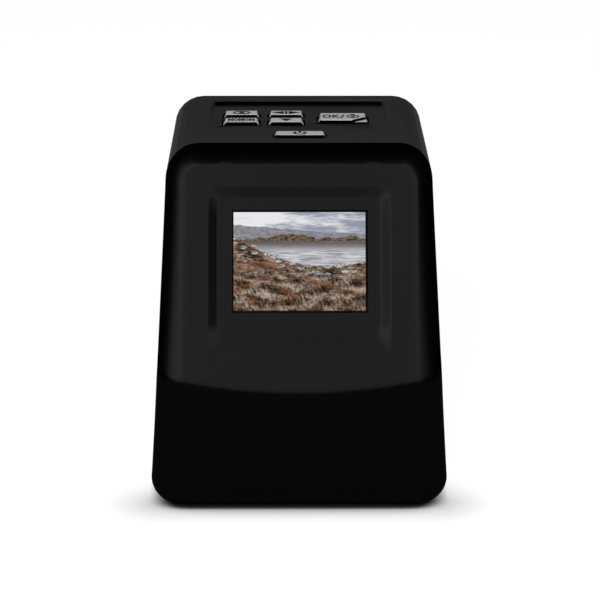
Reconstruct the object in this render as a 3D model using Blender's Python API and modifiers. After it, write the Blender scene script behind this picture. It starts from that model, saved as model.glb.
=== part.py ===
"""A compact desktop scanner for 35 mm film and mounted slides, built as the assembly it is.

+X is to the viewer's right, +Y to the rear and +Z up. The origin is on the table, under the
middle of the case. All sizes are in metres. Every value with HEIGHT in its name is measured
from the underside of the case, which the feet hold a little above the table.
"""

import math
from itertools import product

import bmesh
import bpy
from mathutils import Matrix

# The case, seen from the front: two sides that lean in, with rounded corners
BASE_WIDTH = 0.0903
CROWN_WIDTH = 0.0793
SIDE_BOW = 0.00065
CASE_HEIGHT = 0.1026
CASE_DEPTH = 0.0875
BASE_CORNER = 0.0085
CROWN_CORNER = 0.0095
WALL = 0.0022
SEAM = 0.0003
FOOT_PROUD = 0.001
CORNER_STEPS = 6
FLAT_STEPS = 4

# The front: a leaning panel over an upright chin, with rounded shoulders down to the rim
TOP_DEPTH = 0.05275
CHIN_HEIGHT = 0.03724
PANEL_SIDE_MARGIN = 0.0048
PANEL_CORNER = 0.0055
PANEL_TOP_MARGIN = 0.0045
CHIN_BOW_RADIUS = 0.376
CHIN_BLEND = 0.0012
CHIN_SIDE_MARGIN = 0.00615
CHIN_CORNER = 0.0045
CHIN_FOOT_MARGIN = 0.0016
SHOULDER_DEPTH = 0.0034
SHOULDER_LAND = 0.0007
SHOULDER_START = math.radians(30)
SHOULDER_STEPS = 4
FLARE_POWER = 2.3
chin_row_shares = (0.36, 0.50, 0.64, 0.77, 0.89)
blend_row_shares = (-1.0, -0.5, 0.0, 0.5, 1.0)

# The rear cover, a shallow cap with a rounded rim
REAR_COVER_DEPTH = 0.004
REAR_ROUND = 0.0014
rear_width_share = 0.986
REAR_STEPS = 4

# The split between upper and lower housing, and the film slot that lies across it
PART_HEIGHT = 0.0192
SLOT_INSET = 0.01375
SLOT_CLEAR = 0.0088
SLOT_FLOOR_HEIGHT = 0.0198
SLOT_MARGIN = 0.0006
SLOT_CORNER = 0.0015

# The film track: a floor with side ribs, a ceiling plate, and the picture gate through both
TRACK_END_GAP = 0.0015
TRACK_PLATE = 0.0024
TRACK_RIB = 0.0016
GATE_WIDTH = 0.038
GATE_DEPTH = 0.026
GATE_CORNER = 0.0010
TRACK_POST_RADIUS = 0.0025
TRACK_POST_INSET = 0.0050

# The light under the gate: board, light-emitting diodes, reflector box and diffuser
BOARD = 0.0016
BOARD_CORNER = 0.0010
LIGHT_BOARD_WIDTH = 0.056
LIGHT_BOARD_DEPTH = 0.042
LIGHT_BOARD_HEIGHT = 0.0050
LIGHT_POST_RADIUS = 0.0020
LIGHT_POST_INSET = 0.0040
LED_SIZE = 0.0050
LED_TALL = 0.0016
LED_PITCH = 0.0130
LIGHT_BOX_WIDTH = 0.0500
LIGHT_BOX_DEPTH = 0.0380
LIGHT_BOX_WALL = 0.0016
LIGHT_BOX_FLARE = 0.0050
DIFFUSER_THICKNESS = 0.0020

# The camera over the gate: chamber, lens, sensor and its board
CHAMBER_WIDTH = 0.0440
CHAMBER_DEPTH = 0.0320
CHAMBER_FLANGE = 0.0040
CHAMBER_FLANGE_THICKNESS = 0.0020
CHAMBER_TOP_SIZE = 0.0240
CHAMBER_WALL = 0.0016
HOLDER_RADIUS = 0.0088
HOLDER_LENGTH = 0.0158
HOLDER_HEADROOM = 0.0159
CAMERA_CLEARANCE = 0.0011
BARREL_RADIUS = 0.0070
BARREL_BORE = 0.0052
BARREL_MOUTH = 0.0042
BARREL_LIP = 0.0012
BARREL_LENGTH = 0.0170
BARREL_DROP = 0.0060
LENS_RADIUS = 0.0048
LENS_MIDDLE = 0.0030
LENS_EDGE = 0.0012
LENS_STEPS = 4
SENSOR_BOARD_SIZE = 0.0220
SENSOR_SIZE = 0.0096
SENSOR_THICKNESS = 0.0014

# The display, measured along the panel from the middle of the picture and in from its face
RECESS_WIDTH = 0.0550
RECESS_UP = 0.0231
RECESS_DOWN = 0.0277
RECESS_CORNER = 0.0030
RECESS_FLOOR_WIDTH = 0.0480
RECESS_FLOOR_UP = 0.0192
RECESS_FLOOR_DOWN = 0.0201
RECESS_DEPTH = 0.0010
WINDOW_WIDTH = 0.0404
WINDOW_TALL = 0.0308
WINDOW_CORNER = 0.0004
WINDOW_SUNK = 0.0002
WINDOW_LIP = 0.0011
WINDOW_FLANGE = 0.0018
WINDOW_FLANGE_THICKNESS = 0.0008
PAD_MARGIN = 0.0014
PAD_BACK = 0.0049
GLASS_WIDTH = 0.0460
GLASS_TALL = 0.0364
GLASS_THICKNESS = 0.0022
TRAY_WALL = 0.0010
TRAY_FLOOR = 0.0010
DISPLAY_BOARD_WIDTH = 0.0620
DISPLAY_BOARD_TALL = 0.0420
DISPLAY_BOARD_THICKNESS = 0.0012
DISPLAY_POST_X = 0.0268
DISPLAY_POST_UP = 0.0180
DISPLAY_POST_RADIUS = 0.0020

# The top: a shallow sunk field for the keys, flush at its front and deepest at its rear edge
FIELD_WIDTH = 0.0546
FIELD_REAR_INSET = 0.0074
FIELD_DEPTH = 0.0012
field_length_share = 0.5706
FIELD_CORNER = 0.0030

# The keys: a cap that stands proud, a flange that keeps it in and a stem that works its switch.
# Their places in from the rear, and the depth of a small one, are shares of the top's depth.
KEY_PROUD = 0.0012
KEY_END_SLANT = 0.0008
KEY_CORNER = 0.0006
KEY_EDGE = 0.00015
KEY_FLANGE = 0.0008
KEY_FLANGE_ENDS = 0.0005
KEY_FLANGE_THICKNESS = 0.0010
KEY_STEM_RADIUS = 0.0018
KEY_STEM_LENGTH = 0.0022
small_key_depth_share = 0.0938
front_key_share = 0.5310
rear_key_share = 0.3960
LEFT_KEY_X = -0.01765
LEFT_KEY_WIDTH = 0.0114
MIDDLE_KEY_X = -0.0038
MIDDLE_KEY_WIDTH = 0.0112
CAPTURE_KEY_X = 0.01375
capture_key_share = 0.4654
CAPTURE_KEY_WIDTH = 0.0156
CAPTURE_KEY_DEPTH = 0.0069
NOTCH_WIDTH = 0.0042
NOTCH_DEPTH = 0.0029
NOTCH_FALL = 0.00085
POWER_KEY_X = 0.0003
power_key_share = 0.8051
POWER_KEY_WIDTH = 0.0161
POWER_KEY_DEPTH = 0.0042
POWER_KEY_CORNER = 0.0016

# The key switches and the board that carries them
SWITCH_GAP = 0.0009
SWITCH_TALL = 0.0034
PLUNGER_RADIUS = 0.0015
PLUNGER_PROUD = 0.0009
PLUNGER_SUNK = 0.0008
PLUNGER_ROOM = 0.0008
KEY_BOARD_WIDTH = 0.0530
key_board_depth_share = 0.7050
KEY_BOARD_INSET = 0.0085
KEY_POST_INSET = 0.0031
KEY_POST_RADIUS = 0.0024

# Screws: a short one for the key board and a long one for the case, with their posts and wells
SCREW_RADIUS = 0.0009
SCREW_HEAD_RADIUS = 0.0019
SCREW_HEAD = 0.0013
SCREW_CROSS = 0.0024
SCREW_CROSS_WIDTH = 0.0005
SCREW_CROSS_DEPTH = 0.0006
BOARD_SCREW_LENGTH = 0.0062
BOARD_SCREW_ROOM = 0.0005
CASE_SCREW_LENGTH = 0.0260
CASE_SCREW_ROOM = 0.0015
CASE_SCREW_SIDE_INSET = 0.0121
CASE_SCREW_FRONT_INSET = 0.0081
CASE_SCREW_REAR_INSET = 0.0076
CASE_POST_RADIUS = 0.0027
CASE_POST_HEADROOM = 0.0005
CASE_WEB = 0.0014
WELL_RADIUS = 0.0022
WELL_WALL = 0.0007
WELL_DEPTH = 0.0040

# The four rubber feet, each in a shallow pocket
FOOT_RADIUS = 0.0048
FOOT_POCKET = 0.0009
FOOT_EDGE = 0.0003
FOOT_SIDE_INSET = 0.0176
FOOT_END_INSET = 0.0162

# The main board at the rear, with its sockets and its processor
MAIN_BOARD_WIDTH = 0.0660
MAIN_BOARD_FRONT_GAP = 0.0005
MAIN_BOARD_REAR_INSET = 0.0030
MAIN_BOARD_HEIGHT = 0.0380
MAIN_POST_RADIUS = 0.0020
MAIN_POST_SIDE_INSET = 0.0040
MAIN_POST_FRONT_INSET = 0.0040
MAIN_POST_REAR_INSET = 0.0031
SOCKET_SUNK = 0.0006
SOCKET_SHEET = 0.0004
SOCKET_CORNER = 0.0004
USB_X = 0.0130
USB_WIDTH = 0.0077
USB_TALL = 0.0040
USB_DEPTH = 0.0092
USB_BACK = 0.0012
USB_TONGUE = 0.0011
USB_TONGUE_WIDTH = 0.0050
USB_TONGUE_SHORT = 0.0012
TV_X = 0.0245
TV_WIDTH = 0.0066
TV_TALL = 0.0060
TV_DEPTH = 0.0100
TV_NOSE_RADIUS = 0.0027
TV_BORE_RADIUS = 0.00178
TV_BORE_DEPTH = 0.0110
CARD_X = -0.0125
CARD_WIDTH = 0.0270
CARD_TALL = 0.0036
CARD_DEPTH = 0.0185
CARD_MOUTH_WIDTH = 0.0246
CARD_MOUTH_TALL = 0.0024
CARD_MOUTH_DEPTH = 0.0165
PROCESSOR_SIZE = 0.0120
PROCESSOR_THICKNESS = 0.0012
PROCESSOR_X = -0.0080
CHIP_CORNER = 0.0003

# The flat ribbon cables
RIBBON = 0.0004
RIBBON_WIDTH = 0.0090
RIBBON_BEND = 0.0025
RIBBON_BEND_STEPS = 4
RIBBON_LAP = 0.0025
DISPLAY_RIBBON_LAP = 0.0060
DISPLAY_RIBBON_DROP = 0.0065
SENSOR_RIBBON_X = 0.0060
KEY_RIBBON_X = -0.0215
KEY_RIBBON_LAP = 0.0075
RIBBON_RUN = 0.0015

# Cutters run this far past what they cut, and joined shapes run this far into each other
OVERRUN = 0.002
BITE = 0.0005

# Facets: round pieces by size, and the steps of a rounded corner
SMALL_ROUND = 10
POST_ROUND = 12
BODY_ROUND = 20
BARREL_ROUND = 24
CORNER_ROUND = 2
SMOOTH_BELOW = math.radians(32)
SCREW_MERGE = 0.00001

for leftover in list(bpy.data.objects):
    bpy.data.objects.remove(leftover)
parts = bpy.data.collections.new("film_scanner")
helpers = bpy.data.collections.new("cutters")
bpy.context.scene.collection.children.link(parts)
bpy.context.scene.collection.children.link(helpers)


def material(name, colour, roughness, metallic=0.0):
    made = bpy.data.materials.new(name)
    made.use_nodes = True
    shader = made.node_tree.nodes["Principled BSDF"]
    shader.inputs["Base Color"].default_value = (*colour, 1.0)
    shader.inputs["Roughness"].default_value = roughness
    shader.inputs["Metallic"].default_value = metallic
    return made


satin_black = material("satin_black", (0.020, 0.020, 0.021), 0.45)
gloss_black = material("gloss_black", (0.012, 0.012, 0.012), 0.18)
inner_black = material("inner_black", (0.016, 0.016, 0.017), 0.65)
silver_key = material("silver_key", (0.30, 0.30, 0.31), 0.35, 0.6)
clear_window = material("clear_window", (0.80, 0.82, 0.85), 0.05)
picture_glass = material("picture_glass", (0.45, 0.42, 0.38), 0.15)
plain_steel = material("plain_steel", (0.55, 0.55, 0.57), 0.30, 1.0)
white_plastic = material("white_plastic", (0.80, 0.80, 0.78), 0.45)
opal = material("opal", (0.88, 0.90, 0.92), 0.50)
green_board = material("green_board", (0.03, 0.16, 0.07), 0.50)
chip_black = material("chip_black", (0.02, 0.02, 0.02), 0.40)
lens_tint = material("lens_tint", (0.20, 0.24, 0.34), 0.05)
rubber = material("rubber", (0.03, 0.03, 0.03), 0.85)
ribbon_film = material("ribbon_film", (0.55, 0.32, 0.10), 0.45)


def finished(name, bm, finish=None, place=None):
    """An object from a bmesh. With no finish it is a helper that cuts or joins."""
    bmesh.ops.recalc_face_normals(bm, faces=bm.faces)
    mesh = bpy.data.meshes.new(name)
    bm.to_mesh(mesh)
    bm.free()
    made = bpy.data.objects.new(name, mesh)
    if finish is None:
        helpers.objects.link(made)
        made.hide_render = True
        made.display_type = "WIRE"
    else:
        parts.objects.link(made)
        mesh.materials.append(finish)
        mesh.shade_smooth()
        mesh.set_sharp_from_angle(angle=SMOOTH_BELOW)
    if place is not None:
        made.matrix_world = place
    return made


def over_base(x, y, height):
    """A place at a height measured from the underside of the case."""
    return Matrix.Translation((x, y, FOOT_PROUD + height))


def centred(width, depth):
    """A rectangle as its left, right, front and back edges."""
    return (-width / 2, width / 2, -depth / 2, depth / 2)


def grown(edges, by):
    left, right, front, back = edges
    return (left - by, right + by, front - by, back + by)


def block(name, foot, low, high, place, finish=None, crown=None, corner=0.0, edge=0.0):
    """A box between two levels, whose top can be another rectangle than its foot.

    corner rounds its upright edges and edge rounds its top rim.
    """
    bm = bmesh.new()
    bmesh.ops.create_cube(bm, size=1.0)
    for vert in bm.verts:
        left, right, front, back = crown if crown and vert.co.z > 0 else foot
        vert.co.x = right if vert.co.x > 0 else left
        vert.co.y = back if vert.co.y > 0 else front
        vert.co.z = high if vert.co.z > 0 else low
    upright = [e for e in bm.edges if abs(e.verts[0].co.z - e.verts[1].co.z) > (high - low) / 2]
    if corner:
        round_edges(bm, upright, corner)
    if edge:
        rim = [e for e in bm.edges if all(abs(v.co.z - high) < edge / 10 for v in e.verts)]
        round_edges(bm, rim, edge)
    return finished(name, bm, finish, place)


def round_edges(bm, edges, radius):
    bmesh.ops.bevel(bm, geom=edges, offset=radius, segments=CORNER_ROUND, profile=0.5, affect="EDGES")


def drum(name, radius, low, high, place, finish=None, sides=POST_ROUND):
    """A round bar between two levels."""
    bm = bmesh.new()
    bmesh.ops.create_cone(
        bm,
        cap_ends=True,
        segments=sides,
        radius1=radius,
        radius2=radius,
        depth=high - low,
        matrix=Matrix.Translation((0, 0, (low + high) / 2)),
    )
    return finished(name, bm, finish, place)


def turned(name, profile, place, finish, sides, closed=False):
    """A profile of radii and levels, from the top down its outer side, turned round the axis."""
    bm = bmesh.new()
    corners = [bm.verts.new((radius, 0, level)) for radius, level in profile]
    for upper_end, lower_end in zip(corners, corners[1:]):
        bm.edges.new((upper_end, lower_end))
    if closed:
        bm.edges.new((corners[-1], corners[0]))
    made = finished(name, bm, finish, place)
    spin = made.modifiers.new("turn", "SCREW")
    spin.axis = "Z"
    spin.steps = sides
    spin.render_steps = sides
    spin.use_merge_vertices = True
    spin.merge_threshold = SCREW_MERGE
    spin.use_smooth_shade = True
    return made


def join_rings(bm, rings, closed=True):
    """Faces between neighbouring rings of points, as in a loft."""
    for low, high in zip(rings, rings[1:]):
        count = len(low) if closed else len(low) - 1
        for i in range(count):
            j = (i + 1) % len(low)
            bm.faces.new((low[i], low[j], high[j], high[i]))


def thicken(surface, thickness, offset):
    wall = surface.modifiers.new("wall", "SOLIDIFY")
    wall.thickness = thickness
    wall.offset = offset
    wall.use_even_offset = True


def boolean(target, operation, tools):
    for tool in tools:
        step = target.modifiers.new(f"{operation.lower()}_{tool.name}", "BOOLEAN")
        step.operation = operation
        step.solver = "EXACT"
        step.object = tool


def cut(target, *tools):
    boolean(target, "DIFFERENCE", tools)


def fuse(target, *tools):
    boolean(target, "UNION", tools)


def arc(centre_x, centre_y, radius, start, end, steps):
    """Points along an arc, both ends included, with its angles in radians."""
    angles = [start + (end - start) * i / steps for i in range(steps + 1)]
    return [(centre_x + radius * math.cos(a), centre_y + radius * math.sin(a)) for a in angles]


# The case outline

quarter = math.pi / 2
side_lean = (CROWN_WIDTH - BASE_WIDTH) / 2 / CASE_HEIGHT
front_y = -CASE_DEPTH / 2
rear_y = CASE_DEPTH / 2
rear_seam_y = rear_y - REAR_COVER_DEPTH


def side_x(height, inset=0.0):
    """Half the width of the case at a height, moved in square to its slightly bowed side."""
    share = height / CASE_HEIGHT
    bow = 4 * SIDE_BOW * share * (1 - share)
    return BASE_WIDTH / 2 + side_lean * height - bow - inset * math.hypot(1, side_lean)


def side_turn(height):
    """How far the side's outward direction is raised above the level at a height."""
    return math.atan(4 * SIDE_BOW / CASE_HEIGHT * (1 - 2 * height / CASE_HEIGHT) - side_lean)


def whole_outline(low, sides, high):
    """Adds the flats under and over the right side of an outline, and mirrors it."""
    flat = [i / FLAT_STEPS for i in range(FLAT_STEPS)]
    half = (
        [(low[0][0] * share, low[0][1]) for share in flat]
        + low
        + sides
        + high
        + [(high[-1][0] * share, high[-1][1]) for share in reversed(flat)]
    )
    return half + [(-x, h) for x, h in reversed(half[1:-1])]


def case_outline(side_heights, inset=0.0):
    """The whole case seen from the front, listed from under its middle."""
    top = CASE_HEIGHT - CROWN_CORNER
    low_x = side_x(BASE_CORNER, BASE_CORNER)
    low_turn = side_turn(BASE_CORNER)
    low = arc(low_x, BASE_CORNER, BASE_CORNER - inset, -quarter, low_turn, CORNER_STEPS)
    high = arc(side_x(top, CROWN_CORNER), top, CROWN_CORNER - inset, side_turn(top), quarter, CORNER_STEPS)
    return whole_outline(low, [(side_x(h, inset), h) for h in side_heights], high)


# The front surface

panel_setback = CASE_DEPTH - TOP_DEPTH
panel_width = CROWN_WIDTH - 2 * PANEL_SIDE_MARGIN
panel_tilt = math.atan2(panel_setback, CASE_HEIGHT - CHIN_HEIGHT)
panel_rise = math.tan(panel_tilt)
chin_flare = (BASE_WIDTH - panel_width) / 2 - CHIN_SIDE_MARGIN
crease_low = CHIN_FOOT_MARGIN + CHIN_CORNER
crease_high = CASE_HEIGHT - PANEL_TOP_MARGIN - PANEL_CORNER
row_heights = [CHIN_HEIGHT * share for share in chin_row_shares] + [
    CHIN_HEIGHT + CHIN_BLEND / panel_rise * share for share in blend_row_shares
]


def front_surface(x, height):
    """How far back the front lies: the leaning panel or the bowed chin, blended at their edge.

    The chin is straight along its foot and fully bowed at its top.
    """
    panel = (height - CHIN_HEIGHT) * panel_rise
    chin = x * x / (2 * CHIN_BOW_RADIUS) * min(height / CHIN_HEIGHT, 1.0)
    ease = max(CHIN_BLEND - abs(panel - chin), 0.0) / CHIN_BLEND
    return front_y + max(panel, chin) + ease * ease * CHIN_BLEND / 4


def chin_arch(x):
    """How far the edge between chin and panel has climbed at this distance from the middle."""
    return x * x / (2 * CHIN_BOW_RADIUS * panel_rise)


def on_row(x, height):
    """Rows follow the chin's arch fully at its edge and lie level at the four corners."""
    if height < CHIN_HEIGHT:
        climb = max(height - crease_low, 0.0) / (CHIN_HEIGHT - crease_low)
    else:
        climb = max(crease_high - height, 0.0) / (crease_high - CHIN_HEIGHT)
    return height + climb * chin_arch(x)


def crease_x(height):
    """Half the width of the flat front: straight beside the panel, flared beside the chin."""
    share = min(height / (CHIN_HEIGHT + chin_arch(panel_width / 2)), 1.0)
    return panel_width / 2 + chin_flare * (1 - share**FLARE_POWER)


rim_heights = [on_row(side_x(h), h) for h in row_heights]
crease_foot = arc(crease_x(crease_low) - CHIN_CORNER, crease_low, CHIN_CORNER, -quarter, 0, CORNER_STEPS)
crease_crown = arc(panel_width / 2 - PANEL_CORNER, crease_high, PANEL_CORNER, 0, quarter, CORNER_STEPS)
crease_sides = [(crease_x(h), on_row(crease_x(h), h)) for h in row_heights]
crease = whole_outline(crease_foot, crease_sides, crease_crown)
crease_rows = [h for x, h in crease_foot] + row_heights + [h for x, h in crease_crown]


def front_point(bm, x, height, behind):
    return bm.verts.new((x, front_surface(x, height) + behind, FOOT_PROUD + height))


def front_skin(bm, inset, behind):
    """One skin of the front, lofted from its rim over the shoulders. It returns the rim."""
    rim = case_outline(rim_heights, inset)
    rings = [[front_point(bm, x, h, SHOULDER_DEPTH) for x, h in rim]]
    for step in range(SHOULDER_STEPS, -1, -1):
        turn = SHOULDER_START + (quarter - SHOULDER_START) * step / SHOULDER_STEPS
        out = (math.sin(turn) - math.sin(SHOULDER_START)) / (1 - math.sin(SHOULDER_START))
        fall = 1 - math.cos(turn) / math.cos(SHOULDER_START)
        back = behind + (SHOULDER_DEPTH - SHOULDER_LAND - behind) * fall
        ring = []
        for (rim_x, rim_h), (flat_x, flat_h) in zip(rim, crease):
            x = flat_x + (rim_x - flat_x) * out
            h = flat_h + (rim_h - flat_h) * out
            ring.append(front_point(bm, x, h, back))
        rings.append(ring)
    join_rings(bm, rings)
    fill_front(bm, rings[-1], behind)
    return rings[0]


def fill_front(bm, ring, behind):
    """Rows of faces across the flat front, from one side of its outline to the other."""
    top = len(ring) // 2
    steps = range(1 - FLAT_STEPS, FLAT_STEPS)
    rows = []
    for i, row_height in enumerate(crease_rows, start=FLAT_STEPS):
        if i == FLAT_STEPS:
            inner = [ring[step] for step in steps]
        elif i == top - FLAT_STEPS:
            inner = [ring[top - step] for step in steps]
        else:
            across = [crease[i][0] * step / FLAT_STEPS for step in steps]
            inner = [front_point(bm, x, on_row(x, row_height), behind) for x in across]
        rows.append([ring[-i], *inner, ring[i]])
    join_rings(bm, rows, closed=False)


def make_front_fascia():
    """The glossy moulding: an outer and an inner skin, closed along the rim."""
    bm = bmesh.new()
    outer = front_skin(bm, 0.0, 0.0)
    inner = front_skin(bm, WALL, WALL)
    join_rings(bm, [outer, inner])
    return finished("front_fascia", bm, gloss_black)


fascia = make_front_fascia()

# The display and its seat in the fascia, built on the panel: x across, y up it and z out of it

lean_cos = math.cos(panel_tilt)
lean_sin = math.sin(panel_tilt)
screen_height = (CASE_HEIGHT + CHIN_HEIGHT + (RECESS_DOWN - RECESS_UP) * lean_cos) / 2
on_panel = over_base(0, front_surface(0, screen_height), screen_height) @ Matrix(
    ((1, 0, 0, 0), (0, lean_sin, -lean_cos, 0), (0, lean_cos, lean_sin, 0), (0, 0, 0, 1))
)
recess_edges = (-RECESS_WIDTH / 2, RECESS_WIDTH / 2, -RECESS_DOWN, RECESS_UP)
recess_floor = (-RECESS_FLOOR_WIDTH / 2, RECESS_FLOOR_WIDTH / 2, -RECESS_FLOOR_DOWN, RECESS_FLOOR_UP)
window_edges = centred(WINDOW_WIDTH, WINDOW_TALL)
glass_edges = centred(GLASS_WIDTH, GLASS_TALL)
tray_edges = grown(glass_edges, SEAM + TRAY_WALL)
lip_back = -RECESS_DEPTH - WINDOW_LIP
flange_front = lip_back - SEAM
flange_back = flange_front - WINDOW_FLANGE_THICKNESS
glass_front = flange_back - SEAM
glass_back = glass_front - GLASS_THICKNESS
tray_inner = glass_back - SEAM
tray_back = tray_inner - TRAY_FLOOR
display_board_front = tray_back - SEAM
display_board_back = display_board_front - DISPLAY_BOARD_THICKNESS

pad = block(
    "display_pad", grown(recess_edges, PAD_MARGIN), -PAD_BACK, BITE - WALL, on_panel, corner=RECESS_CORNER
)
fuse(fascia, pad)
for i, (x, y) in enumerate(product((-DISPLAY_POST_X, DISPLAY_POST_X), (-DISPLAY_POST_UP, DISPLAY_POST_UP))):
    place = on_panel @ Matrix.Translation((x, y, 0))
    post = drum(f"display_post_{i}", DISPLAY_POST_RADIUS, display_board_front + SEAM, BITE - PAD_BACK, place)
    fuse(fascia, post)
recess_past = SEAM / RECESS_DEPTH
recess_mouth = [mouth + (mouth - floor) * recess_past for mouth, floor in zip(recess_edges, recess_floor)]
recess = block(
    "display_recess", recess_floor, -RECESS_DEPTH, SEAM, on_panel, crown=recess_mouth, corner=RECESS_CORNER
)
window_hole = block(
    "window_hole", grown(window_edges, SEAM), -PAD_BACK - OVERRUN, 0, on_panel, corner=WINDOW_CORNER
)
tray_pocket = block("tray_pocket", grown(tray_edges, SEAM), -PAD_BACK - OVERRUN, lip_back, on_panel)
cut(fascia, recess, window_hole, tray_pocket)

# The window's flange keeps it from coming out of the front
window = block(
    "display_window",
    window_edges,
    flange_front - BITE,
    -RECESS_DEPTH - WINDOW_SUNK,
    on_panel,
    clear_window,
    corner=WINDOW_CORNER,
)
fuse(window, block("window_flange", grown(window_edges, WINDOW_FLANGE), flange_back, flange_front, on_panel))
block("display_panel", glass_edges, glass_back, glass_front, on_panel, picture_glass, corner=WINDOW_CORNER)
tray = block("display_tray", tray_edges, tray_back, glass_front, on_panel, white_plastic, corner=BOARD_CORNER)
cut(tray, block("tray_hollow", grown(glass_edges, SEAM), tray_inner, glass_front + OVERRUN, on_panel))
block(
    "display_board",
    centred(DISPLAY_BOARD_WIDTH, DISPLAY_BOARD_TALL),
    display_board_back,
    display_board_front,
    on_panel,
    green_board,
    corner=BOARD_CORNER,
)

# The keys' heights, from the inside of the top wall down to the board under their switches

key_wall_height = CASE_HEIGHT - WALL
key_flange_top = key_wall_height - SEAM
key_flange_low = key_flange_top - KEY_FLANGE_THICKNESS
key_stem_low = key_flange_low - KEY_STEM_LENGTH
plunger_top = key_stem_low - SEAM
switch_top = plunger_top - PLUNGER_PROUD
switch_low = switch_top - SWITCH_TALL
key_board_top = switch_low - SEAM
key_board_low = key_board_top - BOARD
key_board_depth = TOP_DEPTH * key_board_depth_share
key_board_y = rear_y - KEY_BOARD_INSET - key_board_depth / 2
key_board_edges = centred(KEY_BOARD_WIDTH, key_board_depth)
key_post_x = KEY_BOARD_WIDTH / 2 - KEY_POST_INSET
key_post_y = key_board_depth / 2 - KEY_POST_INSET
key_posts = [(x, key_board_y + y) for x, y in product((-key_post_x, key_post_x), (-key_post_y, key_post_y))]
screwed_posts = [key_posts[1], key_posts[2]]
board_screw_seat = key_board_low - SEAM
screw_hole = SCREW_RADIUS + SEAM

# Each key's place, the edges of its cap and its corner radius
small_key_depth = TOP_DEPTH * small_key_depth_share
switch_size = TOP_DEPTH * (front_key_share - rear_key_share) - SWITCH_GAP
left_cap = (centred(LEFT_KEY_WIDTH, small_key_depth), KEY_CORNER)
middle_cap = (centred(MIDDLE_KEY_WIDTH, small_key_depth), KEY_CORNER)
capture_cap = (centred(CAPTURE_KEY_WIDTH, CAPTURE_KEY_DEPTH), KEY_CORNER)
power_cap = (centred(POWER_KEY_WIDTH, POWER_KEY_DEPTH), POWER_KEY_CORNER)
keys = {
    "flip": (LEFT_KEY_X, rear_y - TOP_DEPTH * rear_key_share, *left_cap),
    "mode": (LEFT_KEY_X, rear_y - TOP_DEPTH * front_key_share, *left_cap),
    "up": (MIDDLE_KEY_X, rear_y - TOP_DEPTH * rear_key_share, *middle_cap),
    "down": (MIDDLE_KEY_X, rear_y - TOP_DEPTH * front_key_share, *middle_cap),
    "capture": (CAPTURE_KEY_X, rear_y - TOP_DEPTH * capture_key_share, *capture_cap),
    "power": (POWER_KEY_X, rear_y - TOP_DEPTH * power_key_share, *power_cap),
}

# The top of the camera, which stands under the key board and behind the display's board
board_rear = (on_panel @ Matrix.Translation((0, 0, display_board_back))).translation
board_clear_y = -SENSOR_BOARD_SIZE / 2 - CAMERA_CLEARANCE
board_clear_height = board_rear.z - FOOT_PROUD + (board_clear_y - board_rear.y) / panel_rise
holder_top = min(key_board_low - HOLDER_HEADROOM, board_clear_height - BOARD - SEAM)
sensor_board_low = holder_top + SEAM
sensor_board_top = sensor_board_low + BOARD
middle = over_base(0, 0, 0)

# The housings, both cut from one sleeve between the front's rim and the rear cover

slot_width = CASE_DEPTH - 2 * SLOT_INSET
slot_top = SLOT_FLOOR_HEIGHT + SLOT_CLEAR
case_screw_x = BASE_WIDTH / 2 - CASE_SCREW_SIDE_INSET
case_screws = list(
    product((-case_screw_x, case_screw_x), (front_y + CASE_SCREW_FRONT_INSET, rear_y - CASE_SCREW_REAR_INSET))
)
case_screw_seat = WELL_DEPTH - SEAM
case_post_height = MAIN_BOARD_HEIGHT - SEAM - CARD_TALL - CASE_POST_HEADROOM
upper_low = PART_HEIGHT + SEAM / 2
lower_top = PART_HEIGHT - SEAM / 2
foot_x = BASE_WIDTH / 2 - FOOT_SIDE_INSET
feet = list(product((-foot_x, foot_x), (front_y + FOOT_END_INSET, rear_y - FOOT_END_INSET)))
corner_names = ("front_left", "rear_left", "front_right", "rear_right")

# Turned so that what is drawn as x and y lies along y and z, and runs across the case
across_case = middle @ Matrix(((0, 0, 1, 0), (1, 0, 0, 0), (0, 1, 0, 0), (0, 0, 0, 1)))


def sleeve(name, cut_low, cut_high):
    """The case wall behind the front's rim, with the stretch between two levels cut away."""
    bm = bmesh.new()
    outline = case_outline(rim_heights)
    front = [front_point(bm, x, h, SHOULDER_DEPTH + SEAM) for x, h in outline]
    rear = [bm.verts.new((x * rear_width_share, rear_seam_y - SEAM, FOOT_PROUD + h)) for x, h in outline]
    join_rings(bm, [front, rear])
    housing = finished(name, bm, satin_black)
    thicken(housing, WALL, -1.0)
    room = grown(centred(BASE_WIDTH, CASE_DEPTH), OVERRUN)
    cut(housing, block(f"{name}_trim", room, cut_low, cut_high, over_base(0, 0, 0)))
    return housing


slot_reach = slot_width / 2 + SLOT_MARGIN
slot_edges = (-slot_reach, slot_reach, lower_top - SLOT_CORNER, slot_top + SLOT_MARGIN)
film_slot = block("film_slot", slot_edges, -BASE_WIDTH, BASE_WIDTH, across_case, corner=SLOT_CORNER)


def add_key_board_posts(housing):
    for i, (x, y) in enumerate(key_posts):
        post = drum(
            f"key_post_{i}", KEY_POST_RADIUS, key_board_top + SEAM, key_wall_height + BITE, over_base(x, y, 0)
        )
        fuse(housing, post)
    screw_end = board_screw_seat + BOARD_SCREW_LENGTH + BOARD_SCREW_ROOM
    for i, (x, y) in enumerate(screwed_posts):
        place = over_base(x, y, 0)
        cut(housing, drum(f"key_screw_{i}", screw_hole, key_board_top, screw_end, place, sides=SMALL_ROUND))


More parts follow.
